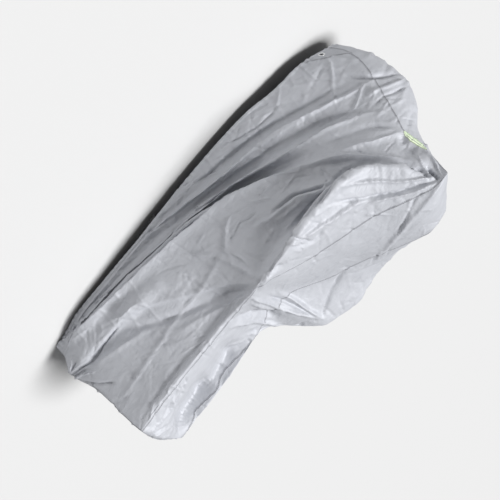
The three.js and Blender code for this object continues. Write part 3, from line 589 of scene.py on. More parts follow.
# %% Creases on the other sides
RIGHT_CREASES = [
    ("flap edge", 13, 28, 55, 50, 0.95,
     [(-0.82, 0.6), (-0.65, 0.515), (-0.48, 0.435), (-0.3, 0.37), (-0.1, 0.315), (0.13, 0.265),
      (0.35, 0.21), (0.62, 0.153), (0.88, 0.1)]),
    ("first skirt ridge", 17, 8, 22, 44, 0.9,
     [(-0.95, 0.55), (-0.82, 0.445), (-0.65, 0.362), (-0.48, 0.3), (-0.3, 0.248), (-0.1, 0.206),
      (0.13, 0.17)]),
    ("trough under the first ridge", -17, 0, 32, 26, 0.5,
     [(-0.94, 0.45), (-0.82, 0.36), (-0.65, 0.29), (-0.48, 0.236), (-0.3, 0.194), (-0.1, 0.16),
      (0.13, 0.132)]),
    ("second skirt ridge", 16, 8, 24, 40, 0.9,
     [(-1.0, 0.38), (-0.86, 0.28), (-0.68, 0.215), (-0.48, 0.17), (-0.26, 0.13), (0.0, 0.1)]),
    ("lip of the far lobe", 12, 18, 44, 40, 0.9,
     [(-0.82, 0.965), (-0.65, 0.94), (-0.48, 0.915), (-0.3, 0.89), (-0.1, 0.905), (0.12, 0.845)]),
    ("tuck under the lobe", 18, 0, 60, 24, 0.6, [(-0.56, 0.8), (-0.43, 0.7), (-0.3, 0.62), (-0.12, 0.56)]),
    ("line of the tuck", -26, 0, 14, 13, 0.8,
     [(-0.55, 0.775), (-0.43, 0.675), (-0.3, 0.595), (-0.16, 0.545)]),
    ("trough from the wing tip", -18, 0, 40, 50, 0.5,
     [(0.2, 0.62), (0.33, 0.55), (0.54, 0.43), (0.78, 0.29)]),
    ("ridge under that trough", 15, 0, 24, 50, 0.8, [(0.16, 0.58), (0.3, 0.47), (0.5, 0.34), (0.72, 0.22)]),
    ("fold down from the wing tip", 15, 0, 34, 26, 0.7,
     [(0.1, 0.7), (0.12, 0.57), (0.18, 0.44), (0.29, 0.32)]),
    ("sag from the seat edge", 16, 0, 60, 30, 0.7,
     [(0.32, 0.67), (0.47, 0.59), (0.65, 0.53), (0.86, 0.5), (1.02, 0.52)]),
    ("second sag from the seat edge", -15, 0, 34, 40, 0.5,
     [(0.42, 0.56), (0.58, 0.48), (0.78, 0.42), (1.0, 0.39)]),
    ("slack before the tail", 15, 0, 34, 22, 0.8, [(0.6, 0.36), (0.76, 0.29), (0.92, 0.255), (1.05, 0.25)]),
    ("belly fold", 14, 0, 40, 24, 0.8,
     [(-0.6, 0.66), (-0.42, 0.54), (-0.22, 0.46), (0.0, 0.4), (0.22, 0.36)]),
    ("trough over the belly fold", -12, 0, 30, 30, 0.6, [(-0.36, 0.57), (-0.16, 0.5), (0.06, 0.45)]),
    ("fold below the front corner", 15, 0, 34, 24, 0.8,
     [(-0.86, 0.93), (-0.78, 0.8), (-0.68, 0.68), (-0.55, 0.58)]),
    ("crease from the tape", 12, 0, 30, 20, 0.8,
     [(-0.87, 0.76), (-0.74, 0.68), (-0.62, 0.6), (-0.5, 0.55)]),
    ("radial fold", -13, 0, 24, 20, 0.8, [(-0.82, 0.93), (-0.68, 0.84), (-0.55, 0.78), (-0.42, 0.74)]),
    ("pull to the eyelet", 9, 0, 18, 14, 0.9, [(-0.8, 0.34), (-0.87, 0.25), (-0.925, 0.17)]),
    ("second pull to the eyelet", -7, 0, 12, 14, 0.7, [(-0.7, 0.19), (-0.8, 0.16), (-0.9, 0.14)]),
    ("gather at the tail", -18, 0, 14, 12, 0.9, [(0.75, 0.215), (0.88, 0.21), (1.0, 0.2), (1.07, 0.185)]),
    ("slack at the tail", -14, 0, 12, 16, 0.9, [(0.95, 0.42), (1.0, 0.36), (1.05, 0.28)]),
    ("packing crease", 9, 0, 14, 12, 0.95, [(0.1, 0.42), (0.4, 0.44), (0.7, 0.455), (1.02, 0.47)]),
    ("standing crinkle", 11, 0, 12, 16, 0.9, [(0.05, 0.6), (0.04, 0.52), (0.06, 0.44), (-0.04, 0.38)]),
]
FRONT_CREASES = [
    ("high sag", 8, 0, 26, 18, 0.8, [(-0.13, 0.86), (0.01, 0.8), (0.13, 0.86)]),
    ("sag at the tapes", -9, 0, 24, 24, 0.5, [(-0.14, 0.73), (-0.02, 0.65), (0.14, 0.72)]),
    ("middle sag", 9, 0, 30, 20, 0.8, [(-0.15, 0.6), (0.02, 0.5), (0.15, 0.59)]),
    ("low sag", -8, 0, 26, 26, 0.5, [(-0.14, 0.44), (0.0, 0.36), (0.14, 0.43)]),
    ("sag over the hem", 8, 0, 24, 18, 0.8, [(-0.12, 0.3), (-0.01, 0.25), (0.12, 0.3)]),
]
TAIL_CREASES = [
    ("high sag", 13, 0, 30, 20, 0.8, [(-0.17, 0.6), (0.02, 0.53), (0.17, 0.6)]),
    ("middle sag", -13, 0, 26, 26, 0.5, [(-0.17, 0.45), (-0.02, 0.38), (0.17, 0.45)]),
    ("pull across the tail", 11, 0, 26, 16, 0.8, [(-0.17, 0.5), (-0.04, 0.44), (0.16, 0.33)]),
    ("low sag", 12, 0, 28, 18, 0.8, [(-0.16, 0.33), (0.01, 0.27), (0.16, 0.33)]),
    ("gather", -18, 0, 14, 12, 0.9, [(-0.17, 0.2), (0.0, 0.185), (0.17, 0.2)]),
    ("ridge under the gather", 12, 0, 10, 30, 0.8, [(-0.17, 0.17), (0.0, 0.155), (0.17, 0.17)]),
]
SIDES = [
    ("right side", (0, 2), (0, 1, 0), RIGHT_CREASES),
    ("front", (1, 2), (-1, 0, 0), FRONT_CREASES),
    ("tail", (1, 2), (1, 0, 0), TAIL_CREASES),
]
for name, axes, towards, creases in SIDES:
    lift += press(points[:, axes], out @ np.array(towards, float), creases, 1.0)
    print(name, len(creases), "creases")

# %% [markdown]
# ## Small crinkles
# Between its folds a coated cloth is never flat: it keeps a net of shallow ridges from the bag it was
# packed in. Noise folded over at its middle value makes such ridges. Two sizes of it, both only a
# millimetre or two high, are stretched along the cover, because most of the pull runs that way. Short crisp
# creases at seeded places lie over them.


# %% Crinkles
def ridges(points, stretch, seed):
    """Folded noise, with sharp crests that reach up to 1."""
    shifted = points * np.asarray(stretch) + seed
    return np.array([1 - abs(noise.noise(Vector(place))) * 2 for place in shifted])


COARSE_CRINKLE, FINE_CRINKLE = (2.4 * MM, (5.5, 9, 9), 3.7), (1.0 * MM, (17, 24, 24), 11.3)
MEAN_RIDGE = 0.6
for height, stretch, seed in (COARSE_CRINKLE, FINE_CRINKLE):
    lift += height * (ridges(points, stretch, seed) - MEAN_RIDGE)
STRAY = 230
STRAY_SPREAD, STRAY_BEND = 0.7, 0.25
STRAY_LENGTH, STRAY_LIFT, STRAY_REACH = (0.04, 0.17), (1.5, 5.5), (7, 18)
dice = np.random.default_rng(20)


def stray_creases(count, low, high, lean):
    """Short crisp creases at seeded places on a view, most of them along its first axis."""
    for _ in range(count):
        start = dice.uniform(low, high)
        angle = dice.normal(lean, STRAY_SPREAD)
        half = dice.uniform(*STRAY_LENGTH) * 0.5
        bend = dice.uniform(-STRAY_BEND, STRAY_BEND)
        middle = start + half * np.array([math.cos(angle), math.sin(angle)])
        end = middle + half * np.array([math.cos(angle + bend), math.sin(angle + bend)])
        lift = dice.choice([-1, 1]) * dice.uniform(*STRAY_LIFT)
        left, right = dice.uniform(*STRAY_REACH), dice.uniform(*STRAY_REACH)
        yield ("stray crease", lift, 0, left, right, 0.95, [start, middle, end])


STRAY_VIEWS = [
    ("left side", (0, 2), (0, -1, 0), (-1.05, 0.05), (1.05, 0.75), -0.3),
    ("right side", (0, 2), (0, 1, 0), (-1.05, 0.05), (1.05, 0.9), -0.3),
    ("top", (0, 1), (0, 0, 1), (-0.85, -0.4), (1.05, 0.4), 0.2),
    ("front", (1, 2), (-1, 0, 0), (-0.2, 0.1), (0.2, 1.0), 0.0),
    ("tail", (1, 2), (1, 0, 0), (-0.2, 0.05), (0.2, 0.7), 0.0),
]
for name, axes, towards, low, high, lean in STRAY_VIEWS:
    count = int(STRAY * (high[0] - low[0]) * (high[1] - low[1]))
    strays = list(stray_creases(count, low, high, lean))
    lift += press(points[:, axes], out @ np.array(towards), strays, 1.0)
    print(name, count, "stray creases")

# %% [markdown]
# ## Elastic and eyelets
# The hem is drawn in by elastic, mostly at its two ends, so the cloth above it puckers: a short uneven wave
# that dies out upwards. The cloth lies flat where the eyelets are clamped on it, so all its creases fade
# there.

# %% Hem puckers
PUCKER, END_PUCKER = 1.5 * MM, 5 * MM
PUCKER_PITCH, PUCKER_HEIGHT = 0.036, 0.07
END_START, END_RUN = 0.75, 0.2
CLAMP_FLAT, CLAMP_FADE = 0.026, 0.03


def ring_stand(name):
    """The middle of a packed ring and the outward direction of its hole, which is where it is thinnest."""
    ring = np.unique(read_points(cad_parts[name].data)[0].round(6), axis=0)
    centre = ring.mean(0)
    axis = np.linalg.eigh(np.cov((ring - centre).T))[1][:, 0]
    return Vector(centre), Vector(axis * np.sign(axis[1] * centre[1]))


EYELETS = {side: ring_stand("lock_eyelet_" + side) for side in ("left", "right")}
print("eyelets stand at", [centre.to_tuple(3) for centre, _ in EYELETS.values()])
hem_points = points[ROWS["hem"]]
hem_run = np.concatenate([[0], np.cumsum(np.linalg.norm(np.diff(hem_points, axis=0), axis=1))])
hem_tree = kdtree.KDTree(len(hem_points))
for number, place in enumerate(hem_points):
    hem_tree.insert(place, number)
hem_tree.balance()
low = np.flatnonzero(points[:, 2] < hem_points[:, 2].max() + PUCKER_HEIGHT)
found = [hem_tree.find(points[number])[1:] for number in low]
run = hem_run[[number for number, _ in found]]
fade = 1 - smooth_step(np.array([distance for _, distance in found]) / PUCKER_HEIGHT)
height = PUCKER + (END_PUCKER - PUCKER) * smooth_step((np.abs(points[low, 0]) - END_START) / END_RUN)
drift = 2 * wander(run, 5, 9)
uneven = 0.6 + 0.4 * wander(run, 8, 23)
wave = np.sin(run / PUCKER_PITCH * 2 * math.pi + drift) * uneven
lift[low] += height * fade * wave
for centre, _ in EYELETS.values():
    gap = np.linalg.norm(points - np.array(centre), axis=1)
    lift *= smooth_step((gap - CLAMP_FLAT) / CLAMP_FADE)
points += out * lift[:, None]
fine.vertices.foreach_set("co", points.ravel())
fine.update()
points, out = read_points(fine)
print("hem", round(hem_run[-1], 2), "m round, cloth lifted by up to", round(np.abs(lift).max() / MM, 1), "mm")

# %% [markdown]
# ## Cutting the cloth into its panels
# The creases ran over the whole cover, so that they cross its seams without a break. Now each panel becomes
# an object of its own, as it is cut and sewn: the centre strip, the two sides and the two doubled corners.

# %% Panels
# Width, length and area of the flat cut, in metres, and the finish that it takes.
CUTS = {
    "centre_panel": (0.53, 3.9, 1.33, "cloth"),
    "side_panel_left": (1.12, 2.45, 2.13, "cloth"),
    "side_panel_right": (1.12, 2.45, 2.05, "cloth"),
    "eyelet_patch_left": (0.13, 0.22, 0.013, "patch"),
    "eyelet_patch_right": (0.13, 0.20, 0.011, "patch"),
}
sewn = bmesh.new()
sewn.from_mesh(fine)
surface = BVHTree.FromBMesh(sewn)
sheets = {}
for mark, name in enumerate(PANELS):
    panel = sewn.copy()
    others = [face for face in panel.faces if face.material_index != mark]
    bmesh.ops.delete(panel, geom=others, context="FACES")
    for face in panel.faces:
        face.material_index = 0
    area = sum(face.calc_area() for face in panel.faces)
    sheets[name] = link_mesh(name + "_cloth", panel)
    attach(sheets[name], "root")
    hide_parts(name)
    print(name, len(sheets[name].data.polygons), "faces", round(area, 3), "square metres")
sewn.free()
bpy.data.meshes.remove(fine)

# %% [markdown]
# ## Seams
# Two panels are sewn edge to edge, and the edges are folded under and stitched down again, which leaves a
# flat rib with a groove in its middle. A rib is a narrow grid, laid along the sewing line: each of its
# points drops to the nearest place on the cloth and stands off it by the height of its column. The thread
# pulls the rib in at every stitch, so its height rises and falls a little along the way.

# %% Seam ribs
SOFTEN = 2


def even_line(row, step):
    """A row of points of the cloth, lightly smoothed, at even steps, with the outward direction at each."""
    path = np.concatenate([points[row], out[row]], 1)
    padded = np.pad(path, ((SOFTEN, SOFTEN), (0, 0)), mode="edge")
    window = 2 * SOFTEN + 1
    path = sum(padded[k:len(path) + k] for k in range(window)) / window
    run = np.concatenate([[0], np.cumsum(np.linalg.norm(np.diff(path[:, :3], axis=0), axis=1))])
    even = np.linspace(0, run[-1], int(run[-1] / step) + 1)
    path = np.stack([np.interp(even, run, path[:, k]) for k in range(6)], 1)
    return path[:, :3], path[:, 3:] / np.linalg.norm(path[:, 3:], axis=1, keepdims=True)


def across_line(line, facing):
    """The directions along a line and across it, in the plane of the cloth."""
    along = np.gradient(line, axis=0)
    along /= np.linalg.norm(along, axis=1, keepdims=True)
    across = np.cross(facing, along)
    return along, across / np.linalg.norm(across, axis=1, keepdims=True)


def on_cloth(place):
    """The nearest place on the cloth, and which way the cloth faces there."""
    spot, facing, _, _ = surface.find_nearest(Vector(place))
    return np.array(spot), np.array(facing)


def lay_strip(bm, line, facing, columns, widths=None, past_edge=False, ripple=0.0):
    """Adds a strip along a line to a bmesh. Columns are distance aside and height, in millimetres."""
    _, across = across_line(line, facing)
    widths = np.ones(len(line)) if widths is None else widths
    length = np.linalg.norm(np.diff(line, axis=0), axis=1).sum()
    layer = bm.loops.layers.uv.verify()
    rows, sides = len(line) - 1, len(columns) - 1
    grid = bmesh.ops.create_grid(bm, x_segments=rows, y_segments=sides, size=0.5, calc_uvs=True)["verts"]
    faces = {face for vert in grid for face in vert.link_faces}
    for loop in [loop for face in faces for loop in face.loops]:
        loop[layer].uv.x *= length
    for vert in grid:
        step = round((vert.co.x + 0.5) * rows)
        aside, height = columns[round((vert.co.y + 0.5) * sides)]
        kept = 0 if past_edge and aside < 0 else aside
        spot, up = on_cloth(line[step] + across[step] * kept * MM * widths[step])
        pull = 1 + ripple * math.sin(step * length / rows / STITCH_PITCH * 2 * math.pi)
        vert.co = spot + across[step] * (aside - kept) * MM * widths[step] + up * height * pull * MM
    for face in faces:
        face.smooth = True


STITCH_PITCH = 0.009
SEAM_STEP = STITCH_PITCH / 4
RIB_RIPPLE, HEM_RIPPLE = 0.18, 0.12
RIB_HALF = [(0.9, 1.2), (2.6, 1.5), (4.6, 1.1), (5.5, 0.2)]
RIB = [(-aside, height) for aside, height in RIB_HALF[::-1]] + [(0, 0.2)] + RIB_HALF
lines = {name: even_line(row, SEAM_STEP) for name, row in ROWS.items()}
ribs = {}
for side in ("left", "right"):
    bm = bmesh.new()
    for name in (side + "_seam", side + "_corner_seam"):
        lay_strip(bm, *lines[name], RIB, ripple=RIB_RIPPLE)
    ribs[side] = link_mesh(side + "_seam_rib", bm)
    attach(ribs[side], "root")
    print(side, "seam rib", len(ribs[side].data.polygons), "faces")

# %% [markdown]
# ## Hem
# The lower edge is turned in over the elastic and stitched down. The hem is a strip that starts on the
# outside, rolls round under the edge of the cloth and runs up again on the inside. It is thicker where the
# elastic lies.

# %% Hem
HEM = [(13, -2.6), (9, -3.4), (4, -3.6), (0.5, -3.0), (-1.3, -1.6), (-1.6, -0.2), (-0.8, 1.1), (2, 2.0),
       (7, 2.1), (12, 1.5), (15, 1.1), (16, 0.2)]
hem_line, hem_facing = lines["hem"]
if across_line(hem_line, hem_facing)[1][:, 2].mean() < 0:
    hem_line, hem_facing = hem_line[::-1], hem_facing[::-1]
bm = bmesh.new()
lay_strip(bm, hem_line, hem_facing, HEM, past_edge=True, ripple=HEM_RIPPLE)
bmesh.ops.remove_doubles(bm, verts=bm.verts, dist=MERGE)
hem = link_mesh("hem", bm)
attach(hem, "root")
print("hem", len(hem.data.polygons), "faces")

# %% [markdown]
# ## Stitches
# Every stitch is one small grain of thread with two dozen faces, stretched along its seam and sunk a little
# into the cloth. A row of them runs down each side of a rib, and one row runs along the top of the hem.

# %% Stitches
grain_shape = bmesh.new()
bmesh.ops.create_uvsphere(grain_shape, u_segments=6, v_segments=4, radius=0.5)
for face in grain_shape.faces:
    face.smooth = True
GRAIN_POINTS = [vert.co.copy() for vert in grain_shape.verts]
grain = bpy.data.meshes.new("grain")
grain_shape.to_mesh(grain)
grain_shape.free()
STITCH = (5.6, 1.5, 1.1)  # length, width and height in millimetres


def stitch_along(bm, line, facing, aside, height):
    """Adds a row of stitches to a bmesh, some distance beside a line and above the cloth, in millimetres."""
    along, across = across_line(line, facing)
    for step in range(1, len(line) - 1, round(STITCH_PITCH / SEAM_STEP)):
        spot, up = on_cloth(line[step] + across[step] * aside * MM)
        axes = (along[step] * STITCH[0], across[step] * STITCH[1], up * STITCH[2])
        stretch = Matrix(axes).transposed() * MM
        bm.from_mesh(grain, face_normals=False, vertex_normals=False)
        bm.verts.ensure_lookup_table()
        for vert, place in zip(bm.verts[-len(GRAIN_POINTS):], GRAIN_POINTS):
            vert.co = Vector(spot + up * height * MM) + stretch @ place


SEAM_ROWS, SEAM_TOP = (-2.7, 2.7), 1.5
HEM_ROW, HEM_TOP = 11.0, 1.7
bm = bmesh.new()
for name in ("left_seam", "right_seam", "left_corner_seam", "right_corner_seam"):
    for aside in SEAM_ROWS:
        stitch_along(bm, *lines[name], aside, SEAM_TOP)
seam_thread = link_mesh("seam_thread", bm)
bm = bmesh.new()
stitch_along(bm, hem_line, hem_facing, HEM_ROW, HEM_TOP)
hem_thread = link_mesh("hem_thread", bm)
for thread in (seam_thread, hem_thread):
    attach(thread, "root")
    print(thread.name, len(thread.data.polygons) // len(grain.polygons), "stitches")

# %% [markdown]
# ## Reflective tape
# A lens of reflective tape is sewn over each seam at the neck of the nose. It is laid like a rib, from the
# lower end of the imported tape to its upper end, and its width swells towards the middle. Two rows of
# stitches run along it.

# %% Tape
TAPE_HALF, TAPE_END = 23, 0.25
TAPE_ROWS = (-0.5, 0.28)
TAPE_TOP = 2.9
SIDE_OF_TAPE = [(0.35, 2.7), (0.7, 2.5), (0.93, 2.2), (1.0, 0.3)]
TAPE = [(-aside, height) for aside, height in SIDE_OF_TAPE[::-1]] + [(0, TAPE_TOP)] + SIDE_OF_TAPE
tapes = {}
tape_thread_shape = bmesh.new()
for side in ("left", "right"):
    low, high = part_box("reflective_tape_" + side)
    line, facing = lines[side + "_seam"]
    inside = (line[:, 2] > low[2]) & (line[:, 2] < high[2]) & (line[:, 0] < high[0] + TAPE_HALF * MM)
    line, facing = line[inside], facing[inside]
    share = np.linspace(-1, 1, len(line))
    swell = TAPE_END + (1 - TAPE_END) * np.cos(share * math.pi / 2)
    bm = bmesh.new()
    lay_strip(bm, line, facing, [(aside * TAPE_HALF, height) for aside, height in TAPE], widths=swell)
    tapes[side] = link_mesh(side + "_tape", bm)
    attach(tapes[side], "root")
    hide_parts("reflective_tape_" + side)
    _, across = across_line(line, facing)
    for edge in TAPE_ROWS:
        edge_line = line + across * (edge * TAPE_HALF * MM * swell)[:, None]
        stitch_along(tape_thread_shape, edge_line, facing, 0, TAPE_TOP)
    print(side, "tape", len(line), "rows")
tape_thread = link_mesh("tape_thread", tape_thread_shape)
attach(tape_thread, "root")

# %% [markdown]
# ## Eyelets
# An eyelet is pressed from two metal rings that clamp the doubled corner between them. Its section is drawn
# once, as a closed line of radius and height, and spun round the axis of the hole.

# %% Eyelets
OUTER_RING = [(18.6, 2.0), (19.0, 2.6), (18.2, 3.4), (15.6, 4.0), (12.6, 4.1), (10.9, 3.6), (10.1, 2.4)]
INNER_RING = [(radius, -height) for radius, height in OUTER_RING[::-1]]
EYELET = OUTER_RING + [(10.0, 0)] + INNER_RING + [(11.2, -1.8), (11.2, 1.8)]
SPIN_STEPS = 48
eyelets = {}
for side, (centre, axis) in EYELETS.items():
    bm = bmesh.new()
    ring = [bm.verts.new((radius * MM, 0, height * MM)) for radius, height in EYELET]
    edges = [bm.edges.new(pair) for pair in zip(ring, ring[1:] + ring[:1])]
    bmesh.ops.spin(
        bm, geom=ring + edges, axis=(0, 0, 1), cent=(0, 0, 0), angle=2 * math.pi, steps=SPIN_STEPS,
        use_merge=True,
    )
    bmesh.ops.recalc_face_normals(bm, faces=bm.faces)
    stand = axis.to_track_quat("Z", "Y").to_matrix().to_4x4()
    bmesh.ops.transform(bm, matrix=Matrix.Translation(centre) @ stand, verts=bm.verts)
    for face in bm.faces:
        face.smooth = True
    eyelets[side] = link_mesh(side + "_eyelet", bm)
    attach(eyelets[side], "root")
    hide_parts("lock_eyelet_" + side)
    print(side, "eyelet", len(eyelets[side].data.polygons), "faces")

# %% [markdown]
# ## Straps and buckle
# The straps and the two halves of the buckle are right as they are packed, but their edges are sharp.
# Copies of them have the loose triangles merged, the flat faces joined and every sharp edge rounded. The
# grip of each buckle half is three thin bars, raised on its outer face.

# %% Straps and buckle
FLAT_ANGLE, SHARP_ANGLE = math.radians(3), math.radians(35)


def rounded_copy(name, rounding):
    """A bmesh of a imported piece, with its sharp edges rounded."""
    bm = bmesh.new()
    bm.from_mesh(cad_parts[name].data)
    bmesh.ops.remove_doubles(bm, verts=bm.verts, dist=MERGE)
    bmesh.ops.dissolve_limit(bm, angle_limit=FLAT_ANGLE, verts=bm.verts, edges=bm.edges)
    sharp = [edge for edge in bm.edges if edge.calc_face_angle(0) > SHARP_ANGLE]
    bmesh.ops.bevel(
        bm, geom=sharp, offset=rounding, offset_type="OFFSET", affect="EDGES", segments=2, profile=0.5,
        material=-1, clamp_overlap=True,
    )
    return bm


ROUNDING = {"hem_strap": 0.4 * MM, "buckle": 0.35 * MM}
BAR_ROUNDING = 0.4 * MM
BARS, BAR_PITCH, BAR = 3, 0.006, (0.0022, 0.0012, 0.017)
fittings = {}
for name in ("hem_strap_left", "hem_strap_right", "buckle_socket", "buckle_plug"):
    kind = "hem_strap" if name.startswith("hem_strap") else "buckle"
    bm = rounded_copy(name, ROUNDING[kind])
    if kind == "buckle":
        low, high = (Vector(corner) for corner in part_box(name))
        middle = (low + high) / 2
        outer = low.y if middle.y < 0 else high.y
        for bar in range(BARS):
            at = Matrix.Translation((middle.x + (bar - BARS // 2) * BAR_PITCH, outer, middle.z))
            at = at @ Matrix.Diagonal((*BAR, 1))
            cube = bmesh.ops.create_cube(bm, size=1, matrix=at)["verts"]
            edges = {edge for vert in cube for edge in vert.link_edges}
            bmesh.ops.bevel(
                bm, geom=list(edges), offset=BAR_ROUNDING, affect="EDGES", segments=2, profile=0.5,
                material=-1,
            )
    fittings[name] = link_mesh(name + "_rounded", bm)
    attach(fittings[name], "root")
    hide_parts(name)
    print(name, len(fittings[name].data.polygons), "faces")

# %% [markdown]
# ## Cloth material
# The cloth is polyester taffeta with a silver coat on the outside. Its colour is a light grey with a trace
# of blue. Close to, the square weave shows, at two threads to the millimetre, and it follows the cut of
# each panel through the pattern that was unwrapped before. Between the modelled creases the coat carries
# finer crinkles.


# %% Silver cloth
def add(tree, kind, place=None, **settings):
    """A node of a material, with its settings, the values of its sockets and the place that it reads."""
    node = tree.nodes.new(kind)
    for name, value in settings.items():
        if name in node.bl_rna.properties:
            setattr(node, name, value)
        else:
            node.inputs[name.replace("_", " ")].default_value = value
    if place:
        tree.links.new(place, node.inputs["Vector"])
    return node


def sums(tree, operation, *values):
    """The result of a sum on one to three values, each a socket or a number."""
    node = add(tree, "ShaderNodeMath", operation=operation)
    for socket, value in zip(node.inputs, values):
        if isinstance(value, (int, float)):
            socket.default_value = value
        else:
            tree.links.new(value, socket)
    return node.outputs["Value"]


def mixed(tree, share, first, second):
    """A colour between two, each a socket or a colour."""
    node = add(tree, "ShaderNodeMix", data_type="RGBA")
    tree.links.new(share, node.inputs["Factor"])
    for name, value in (("A", first), ("B", second)):
        if isinstance(value, tuple):
            node.inputs[name].default_value = (*value, 1)
        else:
            tree.links.new(value, node.inputs[name])
    return node.outputs["Result"]


def bumped(tree, height, strength, depth, under=None, inwards=False):
    """The surface direction that a height gives, on top of another bump where there is one."""
    node = add(tree, "ShaderNodeBump", Strength=strength, Distance=depth, invert=inwards)
    tree.links.new(height, node.inputs["Height"])
    if under:
        tree.links.new(under, node.inputs["Normal"])
    return node.outputs["Normal"]


RIPPLE_STRETCH, RIPPLE_SCALE = (0.8, 1.9, 1.9), 20.0
RIPPLE_STRENGTH, RIPPLE_DEPTH = 0.4, 0.012


def rippled(tree, place):
    """Folded noise as a bump, and the plain noise for the tones that go with it."""
    sheet = add(tree, "ShaderNodeMapping", place, Scale=RIPPLE_STRETCH).outputs["Vector"]
    ripple = add(
        tree, "ShaderNodeTexNoise", sheet, Scale=RIPPLE_SCALE, Detail=4.0, Roughness=0.5, Distortion=0.5,
    ).outputs["Fac"]
    folded = sums(tree, "ABSOLUTE", sums(tree, "SUBTRACT", ripple, 0.5))
    return bumped(tree, folded, RIPPLE_STRENGTH, RIPPLE_DEPTH, inwards=True), ripple


WAVE_UNIT = 2 * math.pi / 20
WEAVE_PERIOD, WEAVE_STRENGTH, WEAVE_DEPTH = 0.0005, 0.12, 0.0002
WEAVE_SCALE = WAVE_UNIT / WEAVE_PERIOD
DARK_SILVER, LIGHT_SILVER = (0.45, 0.462, 0.498), (0.535, 0.548, 0.585)
LEAST_ROUGH, ROUGH_SWING = 0.5, 0.16
CLOTH_METALLIC, CLOTH_SPECULAR = 0.12, 0.35


def silver_cloth(name, shade, woven):
    """Silver-coated taffeta. Shade darkens it, and woven adds the weave along the cutting pattern."""
    material, tree, shader = new_material(name)
    place = add(tree, "ShaderNodeTexCoord").outputs
    normal, tone = rippled(tree, place["Object"])
    dark = tuple(shade * value for value in DARK_SILVER)
    light = tuple(shade * value for value in LIGHT_SILVER)
    colour = mixed(tree, tone, dark, light)
    wear = add(tree, "ShaderNodeTexNoise", place["Object"], Scale=3.0, Detail=3.0).outputs["Fac"]
    tree.links.new(sums(tree, "MULTIPLY_ADD", wear, ROUGH_SWING, LEAST_ROUGH), shader.inputs["Roughness"])
    if woven:
        threads = []
        for direction in ("X", "Y"):
            wave = add(tree, "ShaderNodeTexWave", place["UV"], bands_direction=direction, Scale=WEAVE_SCALE)
            threads.append(wave.outputs["Fac"])
        normal = bumped(tree, sums(tree, "MULTIPLY", *threads), WEAVE_STRENGTH, WEAVE_DEPTH, under=normal)
    tree.links.new(normal, shader.inputs["Normal"])
    tree.links.new(colour, shader.inputs["Base Color"])
    shader.inputs["Metallic"].default_value = CLOTH_METALLIC
    shader.inputs["Specular IOR Level"].default_value = CLOTH_SPECULAR
    return material, tree, shader, colour


def paint(piece, material):
    """Gives a piece its one material."""
    piece.data.materials.clear()
    piece.data.materials.append(material)


cloth_material = silver_cloth("silver cloth", 1.0, True)[0]
corner_material = silver_cloth("doubled cloth", 0.96, True)[0]
hem_material = silver_cloth("hem cloth", 1.0, False)[0]
for name, piece in sheets.items():
    paint(piece, corner_material if name.startswith("eyelet") else cloth_material)
paint(hem, hem_material)
print("cloth painted")

# %% [markdown]
# ## Seam and thread materials
# The groove of a seam is painted dark as painted shade, for the shadow that falls in it, which draws a thin
# dark line along it. The groove is in the middle of the rib's own pattern, whose second number runs from 0 to
# 1 across it. The thread is twisted: grey on the seams, light on the hem and green on the tape.

# %% Seams and thread
# Painted shade: the middle of each rib is painted dark, for the shadow in its groove.
GROOVE_HALF, GROOVE_SHADE_COLOUR = 0.13, (0.16, 0.16, 0.18)
seam_material, tree, shader, colour = silver_cloth("seam cloth", 0.9, False)
across = add(tree, "ShaderNodeSeparateXYZ", add(tree, "ShaderNodeTexCoord").outputs["UV"])
from_middle = sums(tree, "ABSOLUTE", sums(tree, "SUBTRACT", across.outputs["Y"], 0.5))
in_shaded_groove = sums(tree, "LESS_THAN", from_middle, GROOVE_HALF)
tree.links.new(mixed(tree, in_shaded_groove, colour, GROOVE_SHADE_COLOUR), shader.inputs["Base Color"])
for rib in ribs.values():
    paint(rib, seam_material)

TWIST_SCALE, TWIST_STRENGTH, TWIST_DEPTH, THREAD_ROUGH = 180.0, 0.4, 0.0003, 0.6
GREY_THREAD = (0.16, 0.16, 0.18), (0.30, 0.30, 0.32)
LIGHT_THREAD = (0.60, 0.60, 0.62), (0.72, 0.72, 0.74)
GREEN_THREAD = (0.10, 0.17, 0.07), (0.17, 0.27, 0.10)


def thread_material(name, tones):
    """Twisted thread: fine slanting bands of two tones."""
    material, tree, shader = new_material(name)
    place = add(tree, "ShaderNodeTexCoord").outputs["Object"]
    bands = {"bands_direction": "DIAGONAL", "Scale": TWIST_SCALE, "Distortion": 1.0}
    twist = add(tree, "ShaderNodeTexWave", place, **bands).outputs["Fac"]
    tree.links.new(mixed(tree, twist, *tones), shader.inputs["Base Color"])
    tree.links.new(bumped(tree, twist, TWIST_STRENGTH, TWIST_DEPTH), shader.inputs["Normal"])
    shader.inputs["Roughness"].default_value = THREAD_ROUGH
    return material


paint(seam_thread, thread_material("grey thread", GREY_THREAD))
paint(hem_thread, thread_material("light thread", LIGHT_THREAD))
paint(tape_thread, thread_material("green thread", GREEN_THREAD))
print("seams painted")

# %% [markdown]
# ## Tape, metal, webbing and plastic
# The tape has bands of lime and cream with thin green lines between them, and a honeycomb of tiny glass
# cells that sparkle. The eyelets are nickel, lightly scuffed. The webbing is ribbed black nylon, and the
# buckle is moulded plastic with a fine grain.

